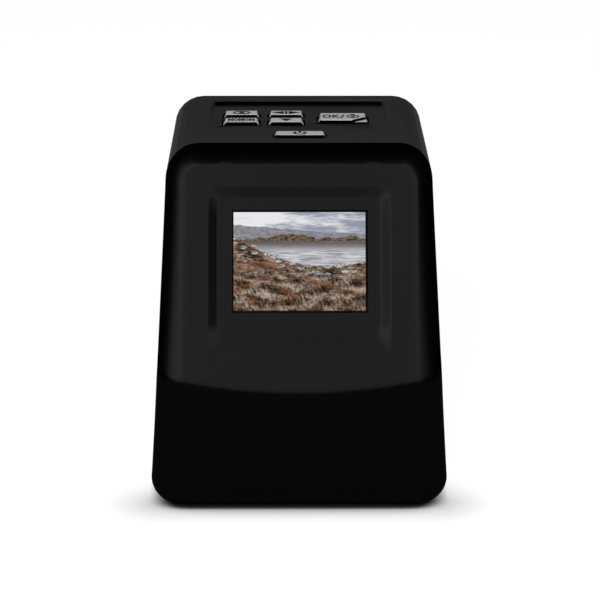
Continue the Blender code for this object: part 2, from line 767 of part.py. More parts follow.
def add_case_posts(housing):
    """A post over each case screw, with a web to the side wall, and its hole."""
    reach = side_x(case_post_height, WALL) + BITE
    web_low = slot_top + SLOT_MARGIN + SEAM
    web_top = case_post_height - BITE
    screw_end = case_screw_seat + CASE_SCREW_LENGTH + CASE_SCREW_ROOM
    for (x, y), corner_name in zip(case_screws, corner_names):
        place = over_base(x, y, 0)
        post = drum(f"case_post_{corner_name}", CASE_POST_RADIUS, upper_low, case_post_height, place)
        if x > 0:
            web_edges = (x, reach, -CASE_WEB / 2, CASE_WEB / 2)
        else:
            web_edges = (-reach, x, -CASE_WEB / 2, CASE_WEB / 2)
        web = block(f"case_web_{corner_name}", web_edges, web_low, web_top, over_base(0, y, 0))
        fuse(housing, post, web)
        cut(housing, drum(f"case_hole_{corner_name}", screw_hole, 0, screw_end, place, sides=SMALL_ROUND))


def add_screw_wells(housing):
    """A tube round each case screw, wide enough at its foot for the head."""
    bore_low = WELL_DEPTH - BITE
    bore_top = PART_HEIGHT + OVERRUN
    for (x, y), corner_name in zip(case_screws, corner_names):
        place = over_base(x, y, 0)
        fuse(housing, drum(f"well_{corner_name}", WELL_RADIUS + WELL_WALL, BITE, lower_top, place))
        cut(housing, drum(f"well_hole_{corner_name}", WELL_RADIUS, -OVERRUN, WELL_DEPTH, place))
        cut(housing, drum(f"bore_{corner_name}", screw_hole, bore_low, bore_top, place, sides=SMALL_ROUND))


def add_posts(target, name, radius, low, high, spread_x, spots_y):
    """Posts at both sides of the middle, at each of these distances back."""
    for i, (x, y) in enumerate(product((-spread_x, spread_x), spots_y)):
        fuse(target, drum(f"{name}_{i}", radius, low, high, over_base(x, y, 0)))


upper = sleeve("upper_housing", -OVERRUN, upper_low)
add_key_board_posts(upper)
add_case_posts(upper)
field_length = TOP_DEPTH * field_length_share
field_fall = Matrix.Rotation(-math.atan2(FIELD_DEPTH, field_length), 4, "X")
field_edges = (-FIELD_WIDTH / 2, FIELD_WIDTH / 2, 0, math.hypot(field_length, FIELD_DEPTH))
key_field = block(
    "key_field",
    field_edges,
    0,
    FIELD_DEPTH + OVERRUN,
    over_base(0, rear_y - FIELD_REAR_INSET - field_length, CASE_HEIGHT) @ field_fall,
    corner=FIELD_CORNER,
)
cut(upper, key_field)
for name, (x, y, cap_edges, corner) in keys.items():
    key_hole = block(
        f"key_{name}_hole",
        grown(cap_edges, SEAM),
        key_wall_height - OVERRUN,
        CASE_HEIGHT + OVERRUN,
        over_base(x, y, 0),
        corner=corner + SEAM,
    )
    cut(upper, key_hole)
cut(upper, film_slot)

track_low = SLOT_FLOOR_HEIGHT - TRACK_PLATE
track_width = 2 * (side_x(slot_top, WALL) - TRACK_END_GAP)
track_depth = slot_width + 2 * TRACK_RIB
track_post_x = track_width / 2 - TRACK_POST_INSET
track_post_y = track_depth / 2 - TRACK_POST_INSET
light_post_x = LIGHT_BOARD_WIDTH / 2 - LIGHT_POST_INSET
light_post_y = LIGHT_BOARD_DEPTH / 2 - LIGHT_POST_INSET

lower = sleeve("lower_housing", lower_top, CASE_HEIGHT + OVERRUN)
track_spots = (-track_post_y, track_post_y)
add_posts(lower, "track_post", TRACK_POST_RADIUS, WALL - BITE, track_low - SEAM, track_post_x, track_spots)
light_spots = (-light_post_y, light_post_y)
light_post_top = LIGHT_BOARD_HEIGHT - SEAM
add_posts(lower, "light_post", LIGHT_POST_RADIUS, WALL - BITE, light_post_top, light_post_x, light_spots)
add_screw_wells(lower)
for (x, y), corner_name in zip(feet, corner_names):
    pocket = drum(
        f"foot_pocket_{corner_name}",
        FOOT_RADIUS + SEAM,
        -OVERRUN,
        FOOT_POCKET,
        over_base(x, y, 0),
        sides=BODY_ROUND,
    )
    cut(lower, pocket)

for (x, y), corner_name in zip(feet, corner_names):
    foot_profile = [
        (0, FOOT_PROUD + FOOT_POCKET - SEAM),
        (FOOT_RADIUS, FOOT_PROUD + FOOT_POCKET - SEAM),
        (FOOT_RADIUS, FOOT_EDGE),
        (FOOT_RADIUS - FOOT_EDGE, 0),
        (0, 0),
    ]
    turned(f"foot_{corner_name}", foot_profile, Matrix.Translation((x, y, 0)), rubber, BODY_ROUND)


def screw(name, length, place):
    """A screw that points up from its seat, with a cross in the head under it."""
    profile = [
        (0, length),
        (SCREW_RADIUS, length),
        (SCREW_RADIUS, 0),
        (SCREW_HEAD_RADIUS, 0),
        (SCREW_HEAD_RADIUS, -SCREW_HEAD),
        (0, -SCREW_HEAD),
    ]
    made = turned(name, profile, place, plain_steel, POST_ROUND)
    cross_top = SCREW_CROSS_DEPTH - SCREW_HEAD
    arms = {"wide": centred(SCREW_CROSS, SCREW_CROSS_WIDTH), "deep": centred(SCREW_CROSS_WIDTH, SCREW_CROSS)}
    for arm, edges in arms.items():
        cut(made, block(f"{name}_cross_{arm}", edges, -SCREW_HEAD - OVERRUN, cross_top, place))


for (x, y), corner_name in zip(case_screws, corner_names):
    screw(f"case_screw_{corner_name}", CASE_SCREW_LENGTH, over_base(x, y, case_screw_seat))
for (x, y), side_name in zip(screwed_posts, ("left", "right")):
    screw(f"key_board_screw_{side_name}", BOARD_SCREW_LENGTH, over_base(x, y, board_screw_seat))

# The keys, their switches and the key board

key_board = block(
    "key_board",
    key_board_edges,
    key_board_low,
    key_board_top,
    over_base(0, key_board_y, 0),
    green_board,
    corner=BOARD_CORNER,
)
for side_name, (x, y) in zip(("left", "right"), screwed_posts):
    clear = drum(
        f"key_board_hole_{side_name}",
        screw_hole,
        key_board_low - OVERRUN,
        key_board_top + OVERRUN,
        over_base(x, y, 0),
        sides=SMALL_ROUND,
    )
    cut(key_board, clear)


def field_depth(y):
    """How far the sunk field lies under the top at this distance back."""
    return FIELD_DEPTH * max(y - rear_y + FIELD_REAR_INSET + field_length, 0.0) / field_length


def make_key(name, x, y, cap_edges, corner):
    """A key whose origin lies on its line of travel, where that line leaves the top wall.

    Above the field its ends lean in towards its top. The capture key's front right corner is
    lower than the rest of its top.
    """
    place = over_base(x, y, key_wall_height)
    flange_low = key_flange_low - key_wall_height
    crown = WALL - field_depth(y) + KEY_PROUD
    cap = block(
        f"key_{name}",
        cap_edges,
        flange_low + BITE,
        crown,
        place,
        silver_key,
        corner=corner,
        edge=KEY_EDGE,
    )
    left, right, front, back = cap_edges
    across = (front - OVERRUN, back + OVERRUN)
    lean = KEY_END_SLANT / KEY_PROUD
    foot = left - lean * OVERRUN
    top = left + KEY_END_SLANT + lean * OVERRUN
    low = crown - KEY_PROUD - OVERRUN
    high = crown + OVERRUN
    beyond = foot - OVERRUN
    left_slant = block(
        f"key_{name}_left", (beyond, foot, *across), low, high, place, crown=(beyond, top, *across)
    )
    right_slant = block(
        f"key_{name}_right", (-foot, -beyond, *across), low, high, place, crown=(-top, -beyond, *across)
    )
    cut(cap, left_slant, right_slant)
    if name == "capture":
        notch_start = Matrix.Translation((right - KEY_END_SLANT - NOTCH_WIDTH, front, 0))
        along_notch = Matrix.Rotation(math.atan2(NOTCH_DEPTH, NOTCH_WIDTH), 4, "Z")
        reach = (-OVERRUN, NOTCH_WIDTH + NOTCH_DEPTH, -NOTCH_WIDTH, 0)
        cut(cap, block("notch", reach, crown - NOTCH_FALL, high, place @ notch_start @ along_notch))
    flange_edges = (left - KEY_FLANGE, right + KEY_FLANGE, front - KEY_FLANGE_ENDS, back + KEY_FLANGE_ENDS)
    flange = block(f"key_{name}_flange", flange_edges, flange_low, -SEAM, place, corner=KEY_CORNER)
    stem = drum(f"key_{name}_stem", KEY_STEM_RADIUS, key_stem_low - key_wall_height, flange_low + BITE, place)
    fuse(cap, flange, stem)


def make_switch(name, x, y):
    """A switch with a bore for its plunger, which moves with the key."""
    profile = [
        (0, 0),
        (PLUNGER_RADIUS, 0),
        (PLUNGER_RADIUS, -PLUNGER_PROUD - PLUNGER_SUNK),
        (0, -PLUNGER_PROUD - PLUNGER_SUNK),
    ]
    turned(f"plunger_{name}", profile, over_base(x, y, plunger_top), white_plastic, POST_ROUND)
    place = over_base(x, y, 0)
    edges = centred(switch_size, switch_size)
    switch = block(f"switch_{name}", edges, switch_low, switch_top, place, chip_black, corner=CHIP_CORNER)
    bore_low = switch_top - PLUNGER_SUNK - PLUNGER_ROOM
    cut(switch, drum(f"switch_{name}_bore", PLUNGER_RADIUS + SEAM, bore_low, switch_top + OVERRUN, place))


for name, (x, y, cap_edges, corner) in keys.items():
    make_key(name, x, y, cap_edges, corner)
    make_switch(name, x, y)

# The film path

upper_track_top = slot_top + TRACK_PLATE
track_edges = centred(track_width, track_depth)
gate_edges = centred(GATE_WIDTH, GATE_DEPTH)
gate = block("gate", gate_edges, 0, upper_track_top + OVERRUN, middle, corner=GATE_CORNER)
lower_track = block(
    "lower_film_track", track_edges, track_low, slot_top - SEAM, middle, inner_black, corner=BOARD_CORNER
)
channel = block(
    "channel",
    centred(track_width + 2 * OVERRUN, slot_width),
    SLOT_FLOOR_HEIGHT,
    slot_top + OVERRUN,
    middle,
)
cut(lower_track, channel, gate)
upper_track = block(
    "upper_film_track", track_edges, slot_top, upper_track_top, middle, inner_black, corner=BOARD_CORNER
)
main_board_front = CHAMBER_DEPTH / 2 + MAIN_BOARD_FRONT_GAP
main_board_rear = rear_y - MAIN_BOARD_REAR_INSET
main_post_x = MAIN_BOARD_WIDTH / 2 - MAIN_POST_SIDE_INSET
main_spots = (main_board_front + MAIN_POST_FRONT_INSET, track_depth / 2 - MAIN_POST_REAR_INSET)
main_post_low = upper_track_top - BITE
main_post_top = MAIN_BOARD_HEIGHT - SEAM
add_posts(upper_track, "main_post", MAIN_POST_RADIUS, main_post_low, main_post_top, main_post_x, main_spots)
cut(upper_track, gate)

# The light: the board, three diodes, a box that widens towards the gate, and its diffuser

light_board_top = LIGHT_BOARD_HEIGHT + BOARD
light_low = light_board_top + SEAM
diffuser_top = track_low - SEAM
diffuser_low = diffuser_top - DIFFUSER_THICKNESS
light_box_top = diffuser_low - SEAM
box_edges = centred(LIGHT_BOX_WIDTH, LIGHT_BOX_DEPTH)
block(
    "light_board",
    centred(LIGHT_BOARD_WIDTH, LIGHT_BOARD_DEPTH),
    LIGHT_BOARD_HEIGHT,
    light_board_top,
    middle,
    green_board,
    corner=BOARD_CORNER,
)
led_edges = centred(LED_SIZE, LED_SIZE)
for side_name, x in (("left", -LED_PITCH), ("middle", 0), ("right", LED_PITCH)):
    block(f"led_{side_name}", led_edges, 0, LED_TALL, over_base(x, 0, light_low), opal, corner=CHIP_CORNER)
light_box = block(
    "light_box", box_edges, light_low, light_box_top, middle, white_plastic, corner=BOARD_CORNER
)
box_mouth = grown(box_edges, -LIGHT_BOX_WALL)
box_throat = grown(box_mouth, -LIGHT_BOX_FLARE)
led_room = light_low + LED_TALL + SEAM
cut(
    light_box,
    block("box_throat", box_throat, light_low - OVERRUN, led_room + BITE, middle),
    block("box_flare", box_throat, led_room, light_box_top, middle, crown=box_mouth),
)
block("diffuser", box_edges, diffuser_low, diffuser_top, middle, opal, corner=BOARD_CORNER)

# The camera: a dark chamber that narrows to the lens holder, the lens and the sensor over it

chamber_low = upper_track_top + SEAM
chamber_top = holder_top - HOLDER_LENGTH
chamber_edges = centred(CHAMBER_WIDTH, CHAMBER_DEPTH)
chamber_crown = centred(CHAMBER_TOP_SIZE, CHAMBER_TOP_SIZE)
chamber = block(
    "optical_chamber",
    chamber_edges,
    chamber_low,
    chamber_top,
    middle,
    inner_black,
    crown=chamber_crown,
    corner=BOARD_CORNER,
)
chamber_flange = block(
    "chamber_flange",
    grown(chamber_edges, CHAMBER_FLANGE),
    chamber_low,
    chamber_low + CHAMBER_FLANGE_THICKNESS,
    middle,
)
holder = drum("lens_holder", HOLDER_RADIUS, chamber_top - BITE, holder_top, middle, sides=BARREL_ROUND)
fuse(chamber, chamber_flange, holder)
chamber_mouth = block(
    "chamber_mouth", grown(chamber_edges, -CHAMBER_WALL), chamber_low - OVERRUN, chamber_low + BITE, middle
)
chamber_hollow = block(
    "chamber_hollow",
    grown(chamber_edges, -CHAMBER_WALL),
    chamber_low,
    chamber_top - CHAMBER_WALL,
    middle,
    crown=grown(chamber_crown, -CHAMBER_WALL),
)
holder_bore = drum(
    "holder_bore",
    BARREL_RADIUS + SEAM,
    chamber_top - CHAMBER_WALL - OVERRUN,
    holder_top + OVERRUN,
    middle,
    sides=BARREL_ROUND,
)
cut(chamber, chamber_mouth, chamber_hollow, holder_bore)

barrel_place = over_base(0, 0, chamber_top - BARREL_DROP)
barrel_profile = [
    (BARREL_RADIUS, BARREL_LENGTH),
    (BARREL_RADIUS, 0),
    (BARREL_MOUTH, 0),
    (BARREL_MOUTH, BARREL_LIP),
    (BARREL_BORE, BARREL_LIP),
    (BARREL_BORE, BARREL_LENGTH),
]
turned("lens_barrel", barrel_profile, barrel_place, inner_black, BARREL_ROUND, closed=True)


def make_lens():
    """A lens with both faces domed, resting on the lip at the foot of its barrel."""
    rise = (LENS_MIDDLE - LENS_EDGE) / 2
    dome = (LENS_RADIUS**2 + rise**2) / (2 * rise)
    reach = math.asin(LENS_RADIUS / dome)
    turns = [reach * i / LENS_STEPS for i in range(LENS_STEPS + 1)]
    face = [(dome * math.sin(turn), LENS_MIDDLE / 2 - dome * (1 - math.cos(turn))) for turn in turns]
    profile = face + [(radius, -level) for radius, level in reversed(face)]
    seat = barrel_place @ Matrix.Translation((0, 0, BARREL_LIP + SEAM + LENS_MIDDLE / 2))
    turned("lens_glass", profile, seat, lens_tint, BODY_ROUND)


make_lens()
block(
    "sensor_board",
    centred(SENSOR_BOARD_SIZE, SENSOR_BOARD_SIZE),
    sensor_board_low,
    sensor_board_top,
    middle,
    green_board,
    corner=BOARD_CORNER,
)
block(
    "image_sensor",
    centred(SENSOR_SIZE, SENSOR_SIZE),
    holder_top - SENSOR_THICKNESS,
    holder_top,
    middle,
    chip_black,
    corner=CHIP_CORNER,
)

# The main board: cable sockets and the processor on it, the card socket under it

main_top = MAIN_BOARD_HEIGHT + BOARD
main_board_y = (main_board_front + main_board_rear) / 2
socket_y = rear_y - SOCKET_SUNK
block(
    "main_board",
    centred(MAIN_BOARD_WIDTH, main_board_rear - main_board_front),
    MAIN_BOARD_HEIGHT,
    main_top,
    over_base(0, main_board_y, 0),
    green_board,
    corner=BOARD_CORNER,
)
block(
    "processor",
    centred(PROCESSOR_SIZE, PROCESSOR_SIZE),
    0,
    PROCESSOR_THICKNESS,
    over_base(PROCESSOR_X, main_board_y, main_top + SEAM),
    chip_black,
    corner=CHIP_CORNER,
)


def facing_rear(x, height):
    """A place on the sockets' face: x to the left as seen in front, y up, z out of the rear."""
    turn = Matrix(((-1, 0, 0, 0), (0, 0, 1, 0), (0, 1, 0, 0), (0, 0, 0, 1)))
    return over_base(x, socket_y, height) @ turn


usb_place = facing_rear(USB_X, main_top + SEAM + USB_TALL / 2)
usb_edges = centred(USB_WIDTH, USB_TALL)
usb = block("usb_socket", usb_edges, -USB_DEPTH, 0, usb_place, plain_steel, corner=SOCKET_CORNER)
cut(usb, block("usb_mouth", grown(usb_edges, -SOCKET_SHEET), USB_BACK - USB_DEPTH, OVERRUN, usb_place))
tongue_edges = centred(USB_TONGUE_WIDTH, USB_TONGUE)
fuse(usb, block("usb_tongue", tongue_edges, BITE - USB_DEPTH, -USB_TONGUE_SHORT, usb_place))

tv_place = facing_rear(TV_X, main_top + SEAM + TV_TALL / 2)
tv_face = main_board_rear - socket_y
tv = block(
    "tv_out_socket",
    centred(TV_WIDTH, TV_TALL),
    tv_face - TV_DEPTH,
    tv_face,
    tv_place,
    chip_black,
    corner=SOCKET_CORNER,
)
fuse(tv, drum("tv_nose", TV_NOSE_RADIUS, tv_face - BITE, 0, tv_place, sides=BODY_ROUND))
cut(tv, drum("tv_bore", TV_BORE_RADIUS, -TV_BORE_DEPTH, OVERRUN, tv_place))

card_place = facing_rear(CARD_X, MAIN_BOARD_HEIGHT - SEAM - CARD_TALL / 2)
card_edges = centred(CARD_WIDTH, CARD_TALL)
card = block("card_socket", card_edges, -CARD_DEPTH, 0, card_place, plain_steel, corner=SOCKET_CORNER)
card_mouth_edges = centred(CARD_MOUTH_WIDTH, CARD_MOUTH_TALL)
cut(card, block("card_mouth", card_mouth_edges, -CARD_MOUTH_DEPTH, OVERRUN, card_place))


def make_rear_cover():
    """A shallow cap: a square hollow, a land at its rim, a rounded edge and a flat back."""
    bm = bmesh.new()
    rings = []
    layers = [(WALL, rear_y - WALL), (WALL, rear_seam_y), (0.0, rear_seam_y)]
    for step in range(REAR_STEPS + 1):
        turn = quarter * step / REAR_STEPS
        layers.append((REAR_ROUND * (1 - math.cos(turn)), rear_y - REAR_ROUND * (1 - math.sin(turn))))
    for inset, y in layers:
        outline = case_outline(rim_heights, inset)
        rings.append([bm.verts.new((x * rear_width_share, y, FOOT_PROUD + h)) for x, h in outline])
    join_rings(bm, rings)
    bm.faces.new(rings[0])
    bm.faces.new(rings[-1])
    return finished("rear_cover", bm, satin_black)


rear_cover = make_rear_cover()
cut(
    rear_cover,
    block("usb_hole", grown(usb_edges, SEAM), -USB_DEPTH, OVERRUN, usb_place, corner=SOCKET_CORNER),
    drum("tv_hole", TV_NOSE_RADIUS + SEAM, tv_face + BITE, OVERRUN, tv_place, sides=BODY_ROUND),
    block("card_hole", grown(card_edges, SEAM), -CARD_DEPTH, OVERRUN, card_place, corner=SOCKET_CORNER),
)

# The ribbons, each a strip along a line in the side view with rounded bends


def rounded_line(points):
    """The line with each inner corner replaced by a bend."""
    line = [points[0]]
    for before, corner, after in zip(points, points[1:], points[2:]):
        into = math.atan2(corner[1] - before[1], corner[0] - before[0])
        out = math.atan2(after[1] - corner[1], after[0] - corner[0])
        turn = (out - into + math.pi) % math.tau - math.pi
        side = math.copysign(quarter, turn)
        back = RIBBON_BEND * math.tan(abs(turn) / 2)
        centre_y = corner[0] - back * math.cos(into) + RIBBON_BEND * math.cos(into + side)
        centre_h = corner[1] - back * math.sin(into) + RIBBON_BEND * math.sin(into + side)
        line += arc(centre_y, centre_h, RIBBON_BEND, into - side, into - side + turn, RIBBON_BEND_STEPS)
    return [*line, points[-1]]


def ribbon(name, points, x):
    """A flat cable whose middle line runs through these points, given as y and height."""
    bm = bmesh.new()
    line = rounded_line(points)
    edges = [
        [bm.verts.new((edge, y, FOOT_PROUD + h)) for y, h in line]
        for edge in (x - RIBBON_WIDTH / 2, x + RIBBON_WIDTH / 2)
    ]
    join_rings(bm, edges, closed=False)
    thicken(finished(name, bm, ribbon_film), RIBBON, 0.0)


def beside_panel(up, out):
    """A point of the side view, given up the panel from the picture's middle and out of it."""
    spot = (on_panel @ Matrix.Translation((0, up, out))).translation
    return (spot.y, spot.z - FOOT_PROUD)


lift = SEAM + RIBBON / 2
display_back = display_board_back - lift
display_foot = -DISPLAY_BOARD_TALL / 2
on_main = main_top + lift
drop_y, drop_height = beside_panel(display_foot - DISPLAY_RIBBON_DROP, display_back)
ribbon(
    "display_ribbon",
    [
        beside_panel(display_foot + DISPLAY_RIBBON_LAP, display_back),
        (drop_y - (drop_height - on_main) * panel_rise, on_main),
        (main_board_front + RIBBON_LAP, on_main),
    ],
    CHAMBER_WIDTH / 2 + SEAM + RIBBON_WIDTH / 2,
)
ribbon_y = main_board_front + RIBBON_RUN
on_sensor = sensor_board_top + lift
ribbon(
    "sensor_ribbon",
    [
        (SENSOR_BOARD_SIZE / 2 - RIBBON_LAP, on_sensor),
        (ribbon_y, on_sensor),
        (ribbon_y, on_main),
        (ribbon_y + 2 * RIBBON_LAP, on_main),
    ],
    SENSOR_RIBBON_X,
)
under_keys = key_board_low - lift
ribbon(
    "key_ribbon",
    [
        (ribbon_y - KEY_RIBBON_LAP, under_keys),
        (ribbon_y, under_keys),
        (ribbon_y, on_main),
        (ribbon_y + 2 * RIBBON_LAP, on_main),
    ],
    KEY_RIBBON_X,
)
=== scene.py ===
"""The look of a compact desktop scanner for film and mounted slides.

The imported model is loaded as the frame. The sections below follow the scanner as it is put
together, from the front moulding to the contacts inside, and end with the studio.
"""

import math
from itertools import product

import bmesh
import bpy
from mathutils import Matrix, Vector


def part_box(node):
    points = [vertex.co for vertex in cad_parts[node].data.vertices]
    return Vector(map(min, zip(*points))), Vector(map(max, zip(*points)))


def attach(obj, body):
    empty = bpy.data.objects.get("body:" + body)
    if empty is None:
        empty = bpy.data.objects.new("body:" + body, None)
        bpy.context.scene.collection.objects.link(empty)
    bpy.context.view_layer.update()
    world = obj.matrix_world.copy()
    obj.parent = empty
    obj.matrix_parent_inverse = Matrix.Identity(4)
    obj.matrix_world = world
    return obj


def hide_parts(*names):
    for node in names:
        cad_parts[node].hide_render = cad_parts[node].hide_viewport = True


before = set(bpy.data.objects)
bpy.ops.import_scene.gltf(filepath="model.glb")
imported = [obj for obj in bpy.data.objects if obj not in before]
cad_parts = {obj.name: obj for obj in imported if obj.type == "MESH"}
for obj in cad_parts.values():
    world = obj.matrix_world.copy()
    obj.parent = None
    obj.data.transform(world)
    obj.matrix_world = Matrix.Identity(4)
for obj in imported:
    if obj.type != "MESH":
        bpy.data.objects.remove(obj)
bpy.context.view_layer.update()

# Front moulding

# One injection moulding in black, polished plastic: a leaning panel over an upright, bowed
# chin, with shoulders rolled back to the rim. It clips over the front of the case, and four
# posts behind the sunk display seat carry the display's board.

FOOT_PROUD = 0.001
BASE_WIDTH = 0.0903
CROWN_WIDTH = 0.0793
SIDE_BOW = 0.00065
CASE_HEIGHT = 0.1026
CASE_DEPTH = 0.0875
BASE_CORNER = 0.0085
CROWN_CORNER = 0.0095
WALL = 0.0022
SEAM = 0.0003
TOP_DEPTH = 0.05275
CHIN_HEIGHT = 0.03724
PANEL_SIDE_MARGIN = 0.0048
PANEL_CORNER = 0.0055
PANEL_TOP_MARGIN = 0.0045
CHIN_BOW_RADIUS = 0.376
CHIN_BLEND = 0.0012
CHIN_SIDE_MARGIN = 0.00615
CHIN_CORNER = 0.0045
CHIN_FOOT_MARGIN = 0.0016
SHOULDER_DEPTH = 0.0034
SHOULDER_LAND = 0.0007
SHOULDER_START = math.radians(30)
FLARE_POWER = 2.3
RECESS_WIDTH = 0.0550
RECESS_UP = 0.0231
RECESS_DOWN = 0.0277
RECESS_CORNER = 0.0030
RECESS_FLOOR_WIDTH = 0.0480
RECESS_FLOOR_UP = 0.0192
RECESS_FLOOR_DOWN = 0.0201
RECESS_DEPTH = 0.0008
WINDOW_WIDTH = 0.0404
WINDOW_TALL = 0.0308
WINDOW_ASIDE = 0.0002
WINDOW_RAISED = 0.0004
TRAY_WIDTH = 0.0486
TRAY_TALL = 0.0390
PAD_MARGIN = 0.0014
PAD_BACK = 0.0049
LIP_BACK = 0.0021
POST_BACK = 0.0070
POST_X = 0.0268
POST_UP = 0.0180
POST_RADIUS = 0.0020
POST_SIDES = 24
POST_SUNK = 0.0005
CUT_PAST = 0.002
CUT_AHEAD = 0.001
MOULDING_SHARP = 40

quarter = math.pi / 2
side_lean = (CROWN_WIDTH - BASE_WIDTH) / 2 / CASE_HEIGHT
front_y = -CASE_DEPTH / 2
panel_width = CROWN_WIDTH - 2 * PANEL_SIDE_MARGIN
panel_tilt = math.atan2(CASE_DEPTH - TOP_DEPTH, CASE_HEIGHT - CHIN_HEIGHT)
panel_rise = math.tan(panel_tilt)
lean_cos = math.cos(panel_tilt)
lean_sin = math.sin(panel_tilt)
chin_flare = (BASE_WIDTH - panel_width) / 2 - CHIN_SIDE_MARGIN
crease_low = CHIN_FOOT_MARGIN + CHIN_CORNER
crease_high = CASE_HEIGHT - PANEL_TOP_MARGIN - PANEL_CORNER
screen_height = (CASE_HEIGHT + CHIN_HEIGHT + (RECESS_DOWN - RECESS_UP) * lean_cos) / 2
recess_outer = (-RECESS_WIDTH / 2, RECESS_WIDTH / 2, -RECESS_DOWN, RECESS_UP)
recess_floor = (-RECESS_FLOOR_WIDTH / 2, RECESS_FLOOR_WIDTH / 2, -RECESS_FLOOR_DOWN, RECESS_FLOOR_UP)
pad_edges = [edge + math.copysign(PAD_MARGIN, edge) for edge in recess_outer]


def spread(start, end, count):
    """Evenly spaced values from start up to, but without, end."""
    return [start + (end - start) * i / count for i in range(count)]


def side_x(height, inset=0.0):
    """How far the bowed side lies from the middle at a height, less an inset."""
    share = height / CASE_HEIGHT
    bow = 4 * SIDE_BOW * share * (1 - share)
    return BASE_WIDTH / 2 + side_lean * height - bow - inset * math.hypot(1, side_lean)


def side_turn(height):
    """The angle over the horizontal at which the side faces out at a height."""
    return math.atan(4 * SIDE_BOW / CASE_HEIGHT * (1 - 2 * height / CASE_HEIGHT) - side_lean)


def chin_arch(x):
    """How much higher than in the middle the panel meets the bowed chin."""
    return x * x / (2 * CHIN_BOW_RADIUS * panel_rise)


def on_row(x, height):
    """The height of a row's point at x: rows follow that arch and level out away from it."""
    if height < CHIN_HEIGHT:
        climb = max(height - crease_low, 0.0) / (CHIN_HEIGHT - crease_low)
    else:
        climb = max(crease_high - height, 0.0) / (crease_high - CHIN_HEIGHT)
    return height + climb * chin_arch(x)


def crease_x(height):
    """Where the shoulder starts at a height: straight beside the panel, flared at the chin."""
    share = min(height / (CHIN_HEIGHT + chin_arch(panel_width / 2)), 1.0)
    return panel_width / 2 + chin_flare * (1 - share**FLARE_POWER)


def front_surface(x, height):
    """The leaning panel or the bowed chin, whichever lies further back, blended between."""
    panel = (height - CHIN_HEIGHT) * panel_rise
    chin = x * x / (2 * CHIN_BOW_RADIUS) * min(height / CHIN_HEIGHT, 1.0)
    ease = max(CHIN_BLEND - abs(panel - chin), 0.0) / CHIN_BLEND
    return front_y + max(panel, chin) + ease * ease * CHIN_BLEND / 4


def arc(centre_x, centre_y, radius, start, end, steps):
    angles = [start + (end - start) * i / steps for i in range(steps + 1)]
    return [(centre_x + radius * math.cos(a), centre_y + radius * math.sin(a)) for a in angles]


def whole_outline(low, sides, high, shares):
    """Half an outline from the foot round to the crown, and its mirror image."""
    half = (
        [(low[0][0] * share, low[0][1]) for share in shares]
        + low
        + sides
        + high
        + [(high[-1][0] * share, high[-1][1]) for share in reversed(shares)]
    )
    return half + [(-x, h) for x, h in reversed(half[1:-1])]


def inside(edges, corner, x, up):
    """How far a point lies inside a rectangle with rounded corners; negative outside it."""
    left, right, low, high = edges
    over_x = abs(x - (left + right) / 2) - (right - left) / 2 + corner
    over_up = abs(up - (low + high) / 2) - (high - low) / 2 + corner
    outside = math.hypot(max(over_x, 0.0), max(over_up, 0.0)) + min(max(over_x, over_up), 0.0)
    return corner - outside


def recess_depth(x, up):
    """The depth of the sunk seat: from its outer edge down a slope to its flat floor, eased."""
    into = inside(recess_outer, RECESS_CORNER, x, up)
    short = max(-inside(recess_floor, RECESS_CORNER, x, up), 0.0)
    share = into / (into + short) if into > 0 else 0.0
    ease = 0.12
    if share < ease:
        share = share * share / (2 * ease)
    elif share > 1 - ease:
        share = 1 - ease - (1 - share) ** 2 / (2 * ease)
    else:
        share -= ease / 2
    return RECESS_DEPTH * share / (1 - ease)


def front_point(bm, x, height, behind):
    """A point of the front, moved straight back.

    The outer skin goes down into the seat, the inner one back to the pad behind the display.
    """
    y = front_surface(x, height) + behind
    up = (height - screen_height) / lean_cos + behind * lean_sin
    if behind:
        sunk = PAD_BACK - WALL * lean_cos if inside(pad_edges, RECESS_CORNER, x, up) > 0 else 0.0
    else:
        sunk = recess_depth(x, up)
    return bm.verts.new((x, y + sunk * lean_cos, FOOT_PROUD + height - sunk * lean_sin))


def join_rings(bm, rings, closed=True):
    """Faces between neighbouring rings or rows of points."""
    for low, high in zip(rings, rings[1:]):
        count = len(low) if closed else len(low) - 1
        for i in range(count):
            j = (i + 1) % len(low)
            bm.faces.new((low[i], low[j], high[j], high[i]))


def front_skin(bm, inset, behind):
    """One skin of the front, from the rim over the shoulders to the flat. It returns the rim."""
    rim = outline(inset)
    rings = [[front_point(bm, x, h, SHOULDER_DEPTH) for x, h in rim]]
    for step in range(SHOULDER_STEPS, -1, -1):
        turn = SHOULDER_START + (quarter - SHOULDER_START) * step / SHOULDER_STEPS
        out = (math.sin(turn) - math.sin(SHOULDER_START)) / (1 - math.sin(SHOULDER_START))
        fall = 1 - math.cos(turn) / math.cos(SHOULDER_START)
        back = behind + (SHOULDER_DEPTH - SHOULDER_LAND - behind) * fall
        spots = [
            (flat_x + (rim_x - flat_x) * out, flat_h + (rim_h - flat_h) * out)
            for (rim_x, rim_h), (flat_x, flat_h) in zip(rim, crease)
        ]
        rings.append([front_point(bm, x, h, back) for x, h in spots])
    join_rings(bm, rings)
    ring = rings[-1]
    top = len(ring) // 2
    span = range(1 - flats, flats)
    rows = []
    for i, row_height in enumerate(crease_rows, start=flats):
        if i == flats:
            inner = [ring[step] for step in span]
        elif i == top - flats:
            inner = [ring[top - step] for step in span]
        else:
            across = [math.copysign(column_shares[abs(step)], step) * crease[i][0] for step in span]
            inner = [front_point(bm, x, on_row(x, row_height), behind) for x in across]
        rows.append([ring[-i], *inner, ring[i]])
    join_rings(bm, rows, closed=False)
    return rings[0]


